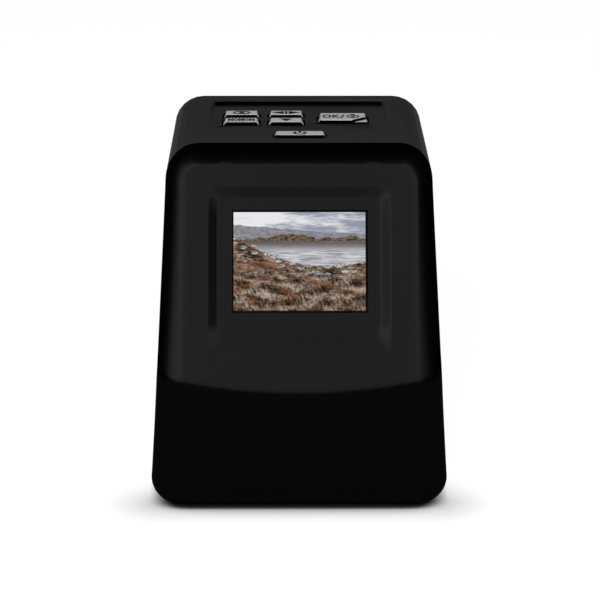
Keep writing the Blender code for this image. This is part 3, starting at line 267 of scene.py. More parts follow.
def outline(inset):
    """The rim of the moulding, or a line this far inside it."""
    top = CASE_HEIGHT - CROWN_CORNER
    low_x = side_x(BASE_CORNER, BASE_CORNER)
    low_turn = side_turn(BASE_CORNER)
    low = arc(low_x, BASE_CORNER, BASE_CORNER - inset, -quarter, low_turn, CORNER_STEPS)
    high = arc(side_x(top, CROWN_CORNER), top, CROWN_CORNER - inset, side_turn(top), quarter, CORNER_STEPS)
    return whole_outline(low, [(side_x(h, inset), h) for h in rim_heights], high, column_shares)


CORNER_STEPS = 12
SHOULDER_STEPS = 12
COLUMN_MARGIN = 0.02
FIRST_ROW_UP = 0.0013
LAST_ROW_GAP = 0.0001
SEAT_FOOT_MARGIN = 0.0006
SEAT_CROWN_MARGIN = 0.0005

edge_share = recess_outer[1] / (panel_width / 2)
floor_share = recess_floor[1] / (panel_width / 2)
column_shares = (
    spread(0.0, floor_share - COLUMN_MARGIN, 8)
    + spread(floor_share - COLUMN_MARGIN, edge_share + COLUMN_MARGIN, 14)
    + spread(edge_share + COLUMN_MARGIN, 1.0, 4)
)
flats = len(column_shares)
blend_up = CHIN_BLEND / panel_rise
seat_edges = (
    -RECESS_DOWN - SEAT_FOOT_MARGIN,
    -RECESS_FLOOR_DOWN + SEAT_FOOT_MARGIN,
    RECESS_FLOOR_UP - SEAT_CROWN_MARGIN,
    RECESS_UP + SEAT_CROWN_MARGIN,
)
seat_rows = [screen_height + up * lean_cos for up in seat_edges]
row_heights = (
    spread(BASE_CORNER + FIRST_ROW_UP, CHIN_HEIGHT - blend_up, 12)
    + spread(CHIN_HEIGHT - blend_up, CHIN_HEIGHT + blend_up, 8)
    + spread(CHIN_HEIGHT + blend_up, seat_rows[0], 3)
    + spread(seat_rows[0], seat_rows[1], 20)
    + spread(seat_rows[1], seat_rows[2], 14)
    + spread(seat_rows[2], min(seat_rows[3], crease_high - LAST_ROW_GAP), 14)
)
rim_heights = [on_row(side_x(h), h) for h in row_heights]
crease_foot = arc(crease_x(crease_low) - CHIN_CORNER, crease_low, CHIN_CORNER, -quarter, 0, CORNER_STEPS)
crease_crown = arc(panel_width / 2 - PANEL_CORNER, crease_high, PANEL_CORNER, 0, quarter, CORNER_STEPS)
crease_sides = [(crease_x(h), on_row(crease_x(h), h)) for h in row_heights]
crease = whole_outline(crease_foot, crease_sides, crease_crown, column_shares)
crease_rows = [h for x, h in crease_foot] + row_heights + [h for x, h in crease_crown]
screen_y = front_surface(0, screen_height)
on_panel = Matrix.Translation((0, screen_y, FOOT_PROUD + screen_height)) @ Matrix(
    ((1, 0, 0, 0), (0, lean_sin, -lean_cos, 0), (0, lean_cos, lean_sin, 0), (0, 0, 0, 1))
)


def new_object(name, bm, place=Matrix()):
    bmesh.ops.transform(bm, matrix=place, verts=bm.verts)
    bmesh.ops.recalc_face_normals(bm, faces=bm.faces)
    if bm.calc_volume(signed=True) < 0:
        bmesh.ops.reverse_faces(bm, faces=bm.faces)
    mesh = bpy.data.meshes.new(name)
    bm.to_mesh(mesh)
    bm.free()
    made = bpy.data.objects.new(name, mesh)
    bpy.context.scene.collection.objects.link(made)
    return made


def box_tool(name, width, tall, low, high, place):
    bm = bmesh.new()
    bmesh.ops.create_cube(bm, size=1.0)
    bmesh.ops.transform(bm, matrix=Matrix.Diagonal((width, tall, high - low, 1)), verts=bm.verts)
    return new_object(name, bm, place @ Matrix.Translation((0, 0, (low + high) / 2)))


def settle(piece):
    """The piece with its modifiers worked into its mesh."""
    bpy.context.view_layer.update()
    shape = bpy.data.meshes.new_from_object(piece.evaluated_get(bpy.context.evaluated_depsgraph_get()))
    piece.modifiers.clear()
    piece.data = shape
    return piece


def reshape(piece, operation, tools):
    """Joins or cuts the tools, then removes them."""
    for tool in tools:
        step = piece.modifiers.new(tool.name, "BOOLEAN")
        step.operation = operation
        step.solver = "EXACT"
        step.object = tool
    settle(piece)
    for tool in tools:
        bpy.data.objects.remove(tool)


def shade(piece, angle):
    """Smooth shading up to an angle, steered by the large faces."""
    piece.data.shade_smooth()
    piece.data.set_sharp_from_angle(angle=math.radians(angle))
    steer = piece.modifiers.new("steer", "WEIGHTED_NORMAL")
    steer.keep_sharp = True
    return settle(piece)


bm = bmesh.new()
outer_rim = front_skin(bm, 0.0, 0.0)
inner_rim = front_skin(bm, WALL, WALL)
join_rings(bm, [outer_rim, inner_rim])
moulding = new_object("front_moulding", bm)
posts = []
for x, up in product((-POST_X, POST_X), (-POST_UP, POST_UP)):
    bm = bmesh.new()
    long = POST_BACK - PAD_BACK + POST_SUNK
    size = {"radius1": POST_RADIUS, "radius2": POST_RADIUS, "depth": long}
    bmesh.ops.create_cone(bm, cap_ends=True, segments=POST_SIDES, **size)
    posts.append(new_object("post", bm, on_panel @ Matrix.Translation((x, up, long / 2 - POST_BACK))))
reshape(moulding, "UNION", posts)
at_window = on_panel @ Matrix.Translation((WINDOW_ASIDE, WINDOW_RAISED, 0))
window_hole = box_tool("window_hole", WINDOW_WIDTH, WINDOW_TALL, -PAD_BACK - CUT_PAST, CUT_AHEAD, at_window)
tray_pocket = box_tool(
    "tray_pocket", TRAY_WIDTH + 2 * SEAM, TRAY_TALL + 2 * SEAM, -PAD_BACK - CUT_PAST, -LIP_BACK, on_panel
)
reshape(moulding, "DIFFERENCE", [window_hole, tray_pocket])
shade(moulding, MOULDING_SHARP)


class Wire:
    """A socket of a material's nodes. Arithmetic on it adds Math nodes beside it."""

    def __init__(self, tree, socket=None):
        self.tree = tree
        self.socket = socket

    def node(self, kind, settings=None, values=None, output=0):
        """Any node: its type, its settings, then the values or wires of its sockets."""
        made = self.tree.nodes.new(kind)
        for setting, value in (settings or {}).items():
            setattr(made, setting, value)
        for socket, value in (values or {}).items():
            if isinstance(value, Wire):
                self.tree.links.new(value.socket, made.inputs[socket])
            else:
                made.inputs[socket].default_value = value
        return Wire(self.tree, made.outputs[output])

    def maths(self, operation, *others):
        return self.node("ShaderNodeMath", {"operation": operation}, dict(enumerate((self, *others))))

    def __add__(self, other):
        return self.maths("ADD", other)

    def __sub__(self, other):
        return self.maths("SUBTRACT", other)

    def __rsub__(self, other):
        return self.maths("MULTIPLY_ADD", -1.0, other)

    def __mul__(self, other):
        return self.maths("MULTIPLY", other)

    def __abs__(self):
        return self.maths("ABSOLUTE")

    __radd__ = __add__
    __rmul__ = __mul__

    def ramp(self, low, high):
        """0 up to low, 1 from high on, with a soft rise between."""
        values = {"Value": self, "From Min": low, "From Max": high}
        return self.node("ShaderNodeMapRange", {"interpolation_type": "SMOOTHSTEP"}, values)

    def blend(self, colour, other):
        """One colour where this is 0 and the other where it is 1."""
        sides = [side if isinstance(side, Wire) else (*side, 1.0) for side in (colour, other)]
        values = {0: self, 6: sides[0], 7: sides[1]}
        return self.node("ShaderNodeMix", {"data_type": "RGBA"}, values, 2)

    def grain(self, size, detail=2.0, roughness=0.5, squeeze=(1.0, 1.0, 1.0)):
        """Noise whose features are about this size, in metres, fixed to the piece."""
        spot = self.node("ShaderNodeTexCoord", output="Object")
        spot = self.node("ShaderNodeMapping", None, {"Vector": spot, "Scale": squeeze})
        values = {"Vector": spot, "Scale": 1 / size, "Detail": detail, "Roughness": roughness}
        return self.node("ShaderNodeTexNoise", None, values)

    def coordinate(self, axis):
        """How far along this axis a point lies, in metres, fixed to the piece."""
        spot = self.node("ShaderNodeTexCoord", output="Object")
        return self.node("ShaderNodeSeparateXYZ", None, {"Vector": spot}, axis)

    def bump(self, distance, strength):
        values = {"Height": self, "Distance": distance, "Strength": strength}
        return self.node("ShaderNodeBump", None, values)

    def own_shader(self):
        return Wire(self.tree, self.tree.nodes["Principled BSDF"].outputs[0])

    def to_surface(self):
        """Makes this shader what the piece shows."""
        self.tree.links.new(self.socket, self.tree.nodes["Material Output"].inputs["Surface"])

    def into(self, socket):
        shader = self.tree.nodes["Principled BSDF"]
        self.tree.links.new(self.socket, shader.inputs[socket])


def new_finish(name, **constants):
    """A material whose plain values sit on the shader's own sockets, and a wire to build from."""
    made = bpy.data.materials.new(name)
    made.use_nodes = True
    shader = made.node_tree.nodes["Principled BSDF"]
    for words, value in constants.items():
        socket = next(s for s in shader.inputs if s.name.lower() == words.replace("_", " "))
        socket.default_value = (*value, 1.0) if isinstance(value, tuple) and len(value) == 3 else value
    return made, Wire(made.node_tree)


polished_black, start = new_finish(
    "polished_black", specular_ior_level=0.0, coat_weight=0.045, coat_roughness=0.24, coat_ior=1.5
)
haze = start.grain(0.022, 3.0, 0.6)
orange_peel = start.grain(0.0016, 1.0)
haze.blend((0.0001, 0.0001, 0.0001), (0.0003, 0.0003, 0.0003)).into("Base Color")
(0.20 + 0.08 * haze).into("Roughness")
orange_peel.bump(0.000003, 0.35).into("Normal")


def dress(piece, material):
    """Gives a piece, or a node of the frame, this material in all of its slots."""
    if not piece.material_slots:
        piece.data.materials.append(material)
    for holder in piece.material_slots:
        holder.link = "OBJECT"
        holder.material = material


def mount(piece, material, body, slot, *nodes):
    """Material and body of a finished piece, and the nodes it stands for; the material slot is not used."""
    piece.data.materials.clear()
    piece.data.materials.append(material)
    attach(piece, body)
    if nodes:
        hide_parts(*nodes)


mount(moulding, polished_black, "housing", "gloss_black", "front_fascia")

# Case behind the front

# An upper and a lower housing and a rear cap, moulded in black plastic with a fine spark-eroded
# texture that kills the shine. They meet in hairline joints. The film slot is cut through both
# sides, and the field under the keys is sunk towards the rear.

FIELD_REACH = 0.032
OPENINGS_REACH = 0.0255
FIELD_REAR_INSET = 0.0074
FIELD_SHADE = 0.0042
FIELD_SHADE_PAST = 0.0004
FIELD_SHADE_ENDS = (0.003, 0.007)
FIELD_SHADE_FOOT = (-0.003, -0.002)
KEY_PROUD = 0.0012
KEY_FLANGE = 0.0008
KEY_FLANGE_ENDS = 0.0005
RELIEF_REACH = 0.0013
RELIEF_DEPTH = 0.0008
WELD = 0.000002
CASE_SHARP = 28
WALL_FACING = -0.5
STEEP = 0.3
UNDER_FIELD = 0.0014
HAIR = 0.0001

satin_black, start = new_finish(
    "satin_black", roughness=0.5, specular_ior_level=0.0, coat_roughness=0.5, coat_ior=1.5
)
clouding = start.grain(0.030, 3.0, 0.55)
sparks = start.grain(0.00042, 3.0, 0.65)
tone = 0.75 * clouding + 0.25 * sparks
tone = tone.blend((0.0150, 0.0147, 0.0146), (0.0208, 0.0204, 0.0202))

# The field under the keys is darker along its rear wall: painted shade at the foot of the wall
aside, back, height = (start.coordinate(axis) for axis in "XYZ")
field_wall = CASE_DEPTH / 2 - FIELD_REAR_INSET
painted_wall_shade = (back - field_wall).ramp(-FIELD_SHADE, 0.0) * (field_wall - back).ramp(-FIELD_SHADE_PAST, 0.0)
painted_wall_shade = painted_wall_shade * (FIELD_REACH - abs(aside)).ramp(*FIELD_SHADE_ENDS)
painted_wall_shade = painted_wall_shade * (height - CASE_HEIGHT).ramp(*FIELD_SHADE_FOOT)
painted_wall_shade.blend(tone, (0.0012, 0.0012, 0.0012)).into("Base Color")
(0.26 + 0.12 * sparks).into("Coat Weight")
sparks.bump(0.00003, 0.4).into("Normal")


def refined(node):
    """A copy of a node's mesh, welded and smoothly shaded, that can stand for it."""
    bm = bmesh.new()
    bm.from_mesh(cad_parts[node].data)
    bmesh.ops.remove_doubles(bm, verts=bm.verts, dist=WELD)
    return shade(new_object(f"{node}_moulding", bm), CASE_SHARP)


# Reliefs in the field before three of the keys, which show as dark lines under them: their near
# black sides paint the shade that falls in front of those keys
upper_case = refined("upper_housing")
reliefs = []
for name in ("mode", "down", "capture"):
    low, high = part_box(f"key_{name}")
    wide = high.x - low.x - 2 * (KEY_FLANGE - SEAM)
    level = high.z - KEY_PROUD - RELIEF_DEPTH
    middle_y = low.y + KEY_FLANGE_ENDS - (RELIEF_REACH + SEAM) / 2
    spot = Matrix.Translation(((low.x + high.x) / 2, middle_y, 0))
    reliefs.append(box_tool("relief", wide, RELIEF_REACH + SEAM, level, high.z, spot))
reshape(upper_case, "DIFFERENCE", reliefs)
shade(upper_case, CASE_SHARP)
mount(upper_case, satin_black, "housing", "satin_black", "upper_housing")

# The field's rear wall and the sides of the openings under the keys are polished by the mould,
# and their near black finish paints the shade that falls on them
upper_case.data.materials.append(polished_black)
for face in upper_case.data.polygons:
    sunk = FOOT_PROUD + CASE_HEIGHT - face.center.z
    wall = face.normal.y < WALL_FACING and abs(face.center.x) < FIELD_REACH
    steep = abs(face.normal.z) < STEEP or sunk > UNDER_FIELD
    opening = steep and abs(face.center.x) < OPENINGS_REACH and face.center.y < field_wall - SEAM
    if 0 < sunk < WALL + HAIR and (wall or opening):
        face.material_index = 1

for node in ("lower_housing", "rear_cover"):
    mount(refined(node), satin_black, "housing", "satin_black", node)

# Display

# A two inch colour panel in a white tray behind the front. It is black round the lit picture,
# which so ends in a thin dark line behind the clear window in the sunk seat.

PICTURE_WIDTH = 0.0395
PICTURE_TALL = 0.0297
PICTURE_OFF = Vector((0.0001, 0.0007))
BLACK = (0.0, 0.0, 0.0)
WHITE = (1.0, 1.0, 1.0)

panel_up = Vector((0, lean_sin, lean_cos))

lit_picture, start = new_finish(
    "lit_picture",
    base_color=(0.001, 0.001, 0.001),
    roughness=0.3,
    emission_strength=1.0,
    specular_ior_level=0.0,
)
spot = start.node("ShaderNodeTexCoord", output="Object")
middle = on_panel.translation
offset = start.node("ShaderNodeVectorMath", {"operation": "SUBTRACT"}, {0: spot, 1: middle})
up = start.node("ShaderNodeVectorMath", {"operation": "DOT_PRODUCT"}, {0: offset, 1: panel_up}, "Value")
u = (start.coordinate("X") - PICTURE_OFF.x) * (2 / PICTURE_WIDTH)
v = (up - PICTURE_OFF.y) * (2 / PICTURE_TALL)


def picture_noise(u, v, stretch_u, stretch_v, detail=4.0, roughness=0.6):
    """Noise laid out in the picture's own plane, stretched each way."""
    flat = start.node("ShaderNodeCombineXYZ", None, {"X": u * stretch_u, "Y": v * stretch_v})
    values = {"Vector": flat, "Scale": 1.0, "Detail": detail, "Roughness": roughness}
    return start.node("ShaderNodeTexNoise", {"noise_dimensions": "2D"}, values)


# The sky: banks of grey cloud that break up and brighten to the left
banks = picture_noise(u + 0.3 * v, v, 1.3, 5.0, 6.0, 0.6)
clouds = (banks - 0.10 * u + 0.05 * v).ramp(0.36, 0.62)
sky = clouds.blend((0.30, 0.33, 0.41), (0.86, 0.86, 0.89))

# Two ranges of hills behind a lake, the nearer one darker
far_line = 0.56 + 0.16 * picture_noise(u + 5.0, v * 0.0, 1.6, 1.0, 4.0) - 0.10 * u
far_tone = picture_noise(u, v, 10.0, 16.0).ramp(0.3, 0.7).blend((0.20, 0.20, 0.24), (0.33, 0.32, 0.35))
picture = (far_line - v).ramp(-0.006, 0.006).blend(sky, far_tone)
near_line = 0.36 + 0.34 * picture_noise(u + 2.0, v * 0.0, 1.9, 1.0, 4.0, 0.6) - 0.08 * abs(u)
near_tone = picture_noise(u, v, 17.0, 24.0, 5.0, 0.7).ramp(0.35, 0.68)
near_tone = near_tone.blend((0.030, 0.022, 0.018), (0.26, 0.17, 0.105))
picture = (near_line - v).ramp(-0.006, 0.006).blend(picture, near_tone)

# The lake: pale under the sky, streaked by the wind and dark under the far bank
streaks = picture_noise(u, v, 3.0, 42.0, 5.0, 0.65).ramp(0.34, 0.66)
water = streaks.blend((0.30, 0.30, 0.34), (0.74, 0.73, 0.76))
under_bank = (v + 0.08 * streaks).ramp(0.22, 0.42)
water = (0.85 * under_bank).blend(water, (0.060, 0.050, 0.045))
picture = (0.41 - v).ramp(-0.004, 0.004).blend(picture, water)

# Heath in rust and straw over near black shade, with grey stones along the shore
shore = 0.30 * u * u - 0.26 * u - 0.12 + 0.16 * picture_noise(u, v * 0.0, 3.0, 1.0, 5.0, 0.65)
heath = (shore - v).ramp(-0.008, 0.008)
nearer = (0.10 - v).ramp(0.0, 0.9)
tufts = nearer.blend(
    picture_noise(u, v, 15.0, 34.0, 6.0, 0.75).blend(BLACK, WHITE),
    picture_noise(u + 0.25 * v, v, 26.0, 10.0, 6.0, 0.75).blend(BLACK, WHITE),
)
swell = picture_noise(u, v, 3.2, 6.0, 3.0, 0.55)
light = (tufts * 0.75 + swell * 0.45).ramp(0.47, 0.80) * (v + 1.0).ramp(-0.5, 0.35)
straw = light.blend((0.010, 0.007, 0.005), (0.62, 0.48, 0.36))
rust = light.blend((0.010, 0.006, 0.004), (0.32, 0.16, 0.09))
cover = picture_noise(u, v, 2.4, 5.0, 4.0, 0.6).ramp(0.42, 0.58).blend(straw, rust)
picture = heath.blend(picture, cover)
flat = start.node("ShaderNodeCombineXYZ", None, {"X": u * 5.0, "Y": v * 9.0})
stones = {"Vector": flat, "Scale": 1.0, "Randomness": 1.0}
stones = start.node("ShaderNodeTexVoronoi", {"voronoi_dimensions": "2D"}, stones, "Distance")
near_shore = (0.16 - abs(v - shore + 0.06)).ramp(0.0, 0.10)
stones = (0.30 - stones).ramp(0.0, 0.03) * near_shore
stone_tone = (picture_noise(u, v, 30.0, 30.0, 4.0) + 0.5 * picture_noise(u, v, 5.0, 16.0)).ramp(0.55, 0.95)
picture = stones.blend(picture, stone_tone.blend((0.10, 0.095, 0.095), (0.66, 0.64, 0.64)))

within_u = (1.0 - abs(u)).ramp(0.0, 0.006)
within_v = (1.0 - abs(v)).ramp(0.0, 0.008)
(within_u * within_v).blend(BLACK, picture).into("Emission Color")
dress(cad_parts["display_panel"], lit_picture)

clear_window, start = new_finish("clear_window", alpha=0.04, specular_ior_level=0.05)
smears = start.grain(0.012, 3.0, 0.6)
smears.blend((0.006, 0.006, 0.006), (0.012, 0.012, 0.012)).into("Base Color")
(0.06 + 0.08 * smears).into("Roughness")
dress(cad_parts["display_window"], clear_window)

# Keys

# Six caps moulded in black plastic, painted silver-grey on their tops and ends and printed in
# black. The paint follows the faces that turn up to the light, and the upright faces are left a
# deeper black than the plastic as painted shade. Each has a flange that holds it under the top
# wall and a stem that works a switch.

KEY_FLANGE_THICKNESS = 0.0010
KEY_STEM_RADIUS = 0.0018
KEY_STEM_SIDES = 32
KEY_END_SLANT = 0.0008
KEY_END_GAP = 0.00015
KEY_END_TAPER = 0.0004
KEY_BACK_SLANT = 0.0005
KEY_RIM = 0.00013
KEY_CORNER = 0.0006
POWER_KEY_CORNER = 0.0016
NOTCH_WIDTH = 0.0042
NOTCH_DEPTH = 0.0029
NOTCH_FALL = 0.00085
KEY_SHARP = 26
RIM_STEPS = 3
CROWN_CORNER_SHARE = 0.6
CROWN_TAPER = 0.0001
LIT_PAINT_FACING = (0.15, 0.30)
PAINT_FOOT = (-0.0014, -0.0012)
KEY_PRINT = 0.00003
POWER_STRETCH = 1.3

silver_key, start = new_finish("silver_key", metallic=0.15, specular_ior_level=0.3)
flakes = start.grain(0.00012, 2.0, 0.7)
spread_paint = start.grain(0.004, 2.0)
# The bare black of the upright faces is darker than the plastic: painted shade on the caps' sides
shaded_bare_sides = {"Base Color": (0.0004, 0.0004, 0.0004, 1.0), "Roughness": 0.25, "Specular IOR Level": 0.016}
shaded_bare_sides = start.node("ShaderNodeBsdfPrincipled", None, shaded_bare_sides, "BSDF")
# Silver where a face turns up towards the light, above the flange: the lit tops and ends, with the sides
# left in painted shade
normal = start.node("ShaderNodeNewGeometry", output="Normal")
facing = start.node("ShaderNodeSeparateXYZ", None, {"Vector": normal}, "Z")
over_field = start.coordinate("Z") - FOOT_PROUD - CASE_HEIGHT
lit_paint_mask = facing.ramp(*LIT_PAINT_FACING) * over_field.ramp(*PAINT_FOOT)
start.node("ShaderNodeMixShader", None, {0: lit_paint_mask, 1: shaded_bare_sides, 2: start.own_shader()}).to_surface()
paint = (0.6 * flakes + 0.4 * spread_paint).ramp(0.25, 0.75)
paint.blend((0.34, 0.338, 0.336), (0.45, 0.448, 0.446)).into("Base Color")
(0.34 + 0.12 * flakes).into("Roughness")
flakes.bump(0.000004, 0.3).into("Normal")


def key_ring(bm, left, right, front, back, corner, height, taper):
    """One level of a key cap: a rectangle with rounded corners, narrower at its back by the taper."""
    points = []
    for x, y, turn in ((right, back, 0), (left, back, 1), (left, front, 2), (right, front, 3)):
        centre_x = x - math.copysign(corner, x - (left + right) / 2)
        centre_y = y - math.copysign(corner, y - (front + back) / 2)
        points += arc(centre_x, centre_y, corner, turn * quarter, (turn + 1) * quarter, 6)
    ring = []
    for x, y in points:
        narrower = taper * (y - front) / (back - front)
        ring.append(bm.verts.new((x - math.copysign(narrower, x - (left + right) / 2), y, height)))
    return ring


# How far each painted top stands above its nominal height, then how far its front and its back
# edges lie behind theirs
cap_shifts = {
    "flip": (0.00005, 0.00040, 0.0),
    "mode": (-0.00020, 0.0, -0.00035),
    "up": (0.00005, 0.00040, 0.0),
    "down": (-0.00020, 0.0, -0.00035),
    "capture": (-0.00005, -0.00055, 0.0),
    "power": (-0.00012, -0.00010, -0.00010),
}
cap_tops = {}
flange_low = FOOT_PROUD + CASE_HEIGHT - WALL - SEAM - KEY_FLANGE_THICKNESS
flange_top = flange_low + KEY_FLANGE_THICKNESS
for name, (rise, front_shift, back_shift) in cap_shifts.items():
    low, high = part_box(f"key_{name}")
    left, right = low.x + KEY_FLANGE, high.x - KEY_FLANGE
    front, back = low.y + KEY_FLANGE_ENDS, high.y - KEY_FLANGE_ENDS
    field = high.z - KEY_PROUD
    top, crown_front, crown_back = high.z + rise, front + front_shift, back + back_shift - KEY_BACK_SLANT
    cap_tops[name] = Vector(((left + right) / 2, (crown_front + crown_back) / 2, top))
    corner = POWER_KEY_CORNER if name == "power" else KEY_CORNER
    bm = bmesh.new()
    foot = (left + KEY_END_GAP, right - KEY_END_GAP, max(front, crown_front), back + min(back_shift, 0.0))
    rings = [key_ring(bm, *foot, corner, level, KEY_END_TAPER) for level in (flange_low + SEAM, field)]
    for step in range(RIM_STEPS + 1):
        turn = quarter * step / RIM_STEPS
        inset = KEY_RIM * (1 - math.cos(turn))
        slant = KEY_END_SLANT + inset
        crown = (left + slant, right - slant, crown_front + inset, crown_back - inset)
        level = top - KEY_RIM * (1 - math.sin(turn))
        rings.append(key_ring(bm, *crown, CROWN_CORNER_SHARE * corner - inset, level, CROWN_TAPER))
    join_rings(bm, rings)
    bm.faces.new(reversed(rings[0]))
    bm.faces.new(rings[-1])
    cap = new_object(f"{name}_cap", bm)
    middle_x, middle_y = (left + right) / 2, (low.y + high.y) / 2
    over_key = Matrix.Translation((middle_x, middle_y, 0))
    flange = box_tool("flange", high.x - low.x, high.y - low.y, flange_low, flange_top, over_key)
    bm = bmesh.new()
    stem = {"radius1": KEY_STEM_RADIUS, "radius2": KEY_STEM_RADIUS, "depth": flange_low + SEAM - low.z}
    bmesh.ops.create_cone(bm, cap_ends=True, segments=KEY_STEM_SIDES, **stem)
    stem = new_object("stem", bm, over_key @ Matrix.Translation((0, 0, (flange_low + SEAM + low.z) / 2)))
    reshape(cap, "UNION", [flange, stem])
    if name == "capture":
        notch_start = Matrix.Translation((right - KEY_END_SLANT - NOTCH_WIDTH, crown_front, 0))
        along = Matrix.Rotation(math.atan2(NOTCH_DEPTH, NOTCH_WIDTH), 4, "Z")
        reach = Matrix.Translation((NOTCH_WIDTH / 2, -NOTCH_WIDTH / 2, 0))
        at_notch = notch_start @ along @ reach
        notch = box_tool("notch", 3 * NOTCH_WIDTH, NOTCH_WIDTH, top - NOTCH_FALL, high.z + SEAM, at_notch)
        reshape(cap, "DIFFERENCE", [notch])
    mount(shade(cap, KEY_SHARP), silver_key, f"key_{name}_body", "silver_key", f"key_{name}")

key_print, start = new_finish("key_print", specular_ior_level=0.1)
wear = start.grain(0.0005, 3.0, 0.7)
wear.blend((0.003, 0.003, 0.003), (0.010, 0.010, 0.010)).into("Base Color")
(0.45 + 0.2 * wear).into("Roughness")


def flat_shape(bm, points, tall=KEY_PRINT):
    """A flat outline, filled and raised into a thin print, or to another height."""
    corners = [bm.verts.new((x, y, 0.0)) for x, y in points]
    face = bm.faces.new(corners)
    raised = bmesh.ops.extrude_face_region(bm, geom=[face])["geom"]
    for vert in raised:
        if isinstance(vert, bmesh.types.BMVert):
            vert.co.z = tall


def band(bm, outer, inner, closed=True):
    """A flat band between two lines of points, raised into a thin print."""
    rings = [
        [bm.verts.new((x, y, z)) for x, y in line]
        for line, z in ((outer, 0.0), (inner, 0.0), (inner, KEY_PRINT), (outer, KEY_PRINT))
    ]
    join_rings(bm, [*rings, rings[0]], closed)
    if not closed:
        for end in (0, -1):
            bm.faces.new([ring[end] for ring in rings])


def bar(bm, x, y, width, tall):
    sides = ((-1, -1), (1, -1), (1, 1), (-1, 1))
    flat_shape(bm, [(x + side * width / 2, y + rise * tall / 2) for side, rise in sides])


def pointer(bm, x, width, tall):
    """A triangle that points along the key; to the left with a negative width."""
    flat_shape(bm, [(x - width / 2, -tall / 2), (x + width / 2, 0), (x - width / 2, tall / 2)])


def pill(x, y, width, tall, steps=10):
    """The outline of a bar with round ends."""
    reach = (width - tall) / 2
    right = arc(x + reach, y, tall / 2, -quarter, quarter, steps)
    left = arc(x - reach, y, tall / 2, quarter, 3 * quarter, steps)
    return right + left


def flip_symbol(bm):
    """A film frame turned over its middle."""
    width, tall = 0.0054, 0.0030
    end_line, side_line, bar_width = 0.0006, 0.0009, 0.0014
    band(bm, pill(0, 0, width, tall), pill(0, 0, width - 2 * end_line, tall - 2 * side_line))
    bar(bm, 0, 0, bar_width, side_line)


def mode_symbol(bm):
    """A strip of three frames, the middle one longer, between its rows of holes."""
    apart, middle_long, end_long, tall = 0.0030, 0.0029, 0.0023, 0.0013
    for x, long in ((-apart, end_long), (0, middle_long), (apart, end_long)):
        bar(bm, x, 0, long, tall)
    first, pitch, hole_long, hole_tall = -0.0038, 0.00109, 0.0006, 0.0007
    for i, rise in product(range(8), (-tall, tall)):
        bar(bm, first + pitch * i, rise, hole_long, hole_tall)


def up_symbol(bm):
    """Left and right changed over."""
    apart, long, tall, divider = 0.0026, 0.0036, 0.0030, 0.0007
    pointer(bm, -apart, -long, tall)
    pointer(bm, apart, long, tall)
    bar(bm, 0, 0, divider, tall)


def down_symbol(bm):
    """A triangle that points to the front."""
    width, tall = 0.0042, 0.0026
    flat_shape(bm, [(-width / 2, tall / 2), (width / 2, tall / 2), (0, -tall / 2)])


def capture_symbol(bm):
    """A stroke, and a camera after it: its body, its lens and the hump over it."""
    x, width, tall, corner_steps = 0.0031, 0.0042, 0.0032, 3
    end_line, side_line = 0.0006, 0.0008
    inner = (width - 2 * end_line, tall - 2 * side_line)
    band(bm, pill(x, 0, width, tall, corner_steps), pill(x, 0, *inner, corner_steps))
    lens_width, lens_tall = 0.0011, 0.0009
    bar(bm, x, 0, lens_width, lens_tall)
    hump_up, hump_width, hump_tall = 0.0019, 0.0014, 0.0006
    bar(bm, x, hump_up, hump_width, hump_tall)
    foot, crown, reach, thick = -0.0009, 0.0, 0.0017, 0.0006
    stroke = [(foot, -reach), (crown, reach)]
    band(bm, stroke, [(x + thick, y) for x, y in stroke], closed=False)


def power_symbol(bm):
    """A broken ring with a bar in its gap."""
    outer, inner, bar_width = 0.0016, 0.0009, 0.0006
    ring = [arc(0, 0, radius, 0.72 * math.pi, 2.28 * math.pi, 20) for radius in (outer, inner)]
    band(bm, *ring, closed=False)
    bar(bm, 0, inner, bar_width, outer)


symbols = {
    "flip": flip_symbol,
    "mode": mode_symbol,
    "up": up_symbol,
    "down": down_symbol,
    "capture": capture_symbol,
    "power": power_symbol,
}
for name, draw in symbols.items():
    bm = bmesh.new()
    draw(bm)
    wide = Matrix.Diagonal((POWER_STRETCH, 1.0, 1.0, 1.0)) if name == "power" else Matrix()
    spot = Matrix.Translation(cap_tops[name] - Vector((0, 0, KEY_PRINT / 3)))
    mount(new_object(f"{name}_print", bm, spot @ wide), key_print, f"key_{name}_body", "silver_key")

# The two letters on the capture key, drawn a little bolder than the font's own
LETTER_SIZE = 0.0037
LETTER_SPACING = 1.08
LETTER_BOLDER = 0.00014
LETTER_STRETCH = (0.95, 1.1)
LETTERS_ASIDE = -0.0037
words = bpy.data.curves.new("ok_letters", "FONT")
words.body = "OK"
words.size = LETTER_SIZE
words.space_character = LETTER_SPACING
words.align_x = "CENTER"
words.align_y = "CENTER"
words.extrude = KEY_PRINT / 2
words.offset = LETTER_BOLDER
letters = bpy.data.objects.new("ok_letters", words)
bpy.context.scene.collection.objects.link(letters)
lettering = bpy.data.meshes.new_from_object(letters)
bpy.data.objects.remove(letters)
bm = bmesh.new()
bm.from_mesh(lettering)
stretch = Matrix.Diagonal((*LETTER_STRETCH, 1.0, 1.0))
spot = Matrix.Translation(cap_tops["capture"] + Vector((LETTERS_ASIDE, 0, KEY_PRINT / 4)))
mount(new_object("ok_print", bm, spot @ stretch), key_print, "key_capture_body", "silver_key")

# Works inside the case

# Green circuit boards with their parts, sheet steel sockets, the white light box under its opal
# diffuser, the black film tracks and camera, amber ribbon cables, rubber feet and steel screws.

CORNERS = ("front_left", "front_right", "rear_left", "rear_right")


def moulded(name, colour, other, size, roughness, depth, **constants):
    """A finish of two close colours in grains of this size, with a fine skin."""
    made, start = new_finish(name, **constants)
    grains = start.grain(size, 3.0, 0.6)
    grains.blend(colour, other).into("Base Color")
    (roughness + 0.12 * grains).into("Roughness")
    grains.bump(depth, 0.4).into("Normal")
    return made


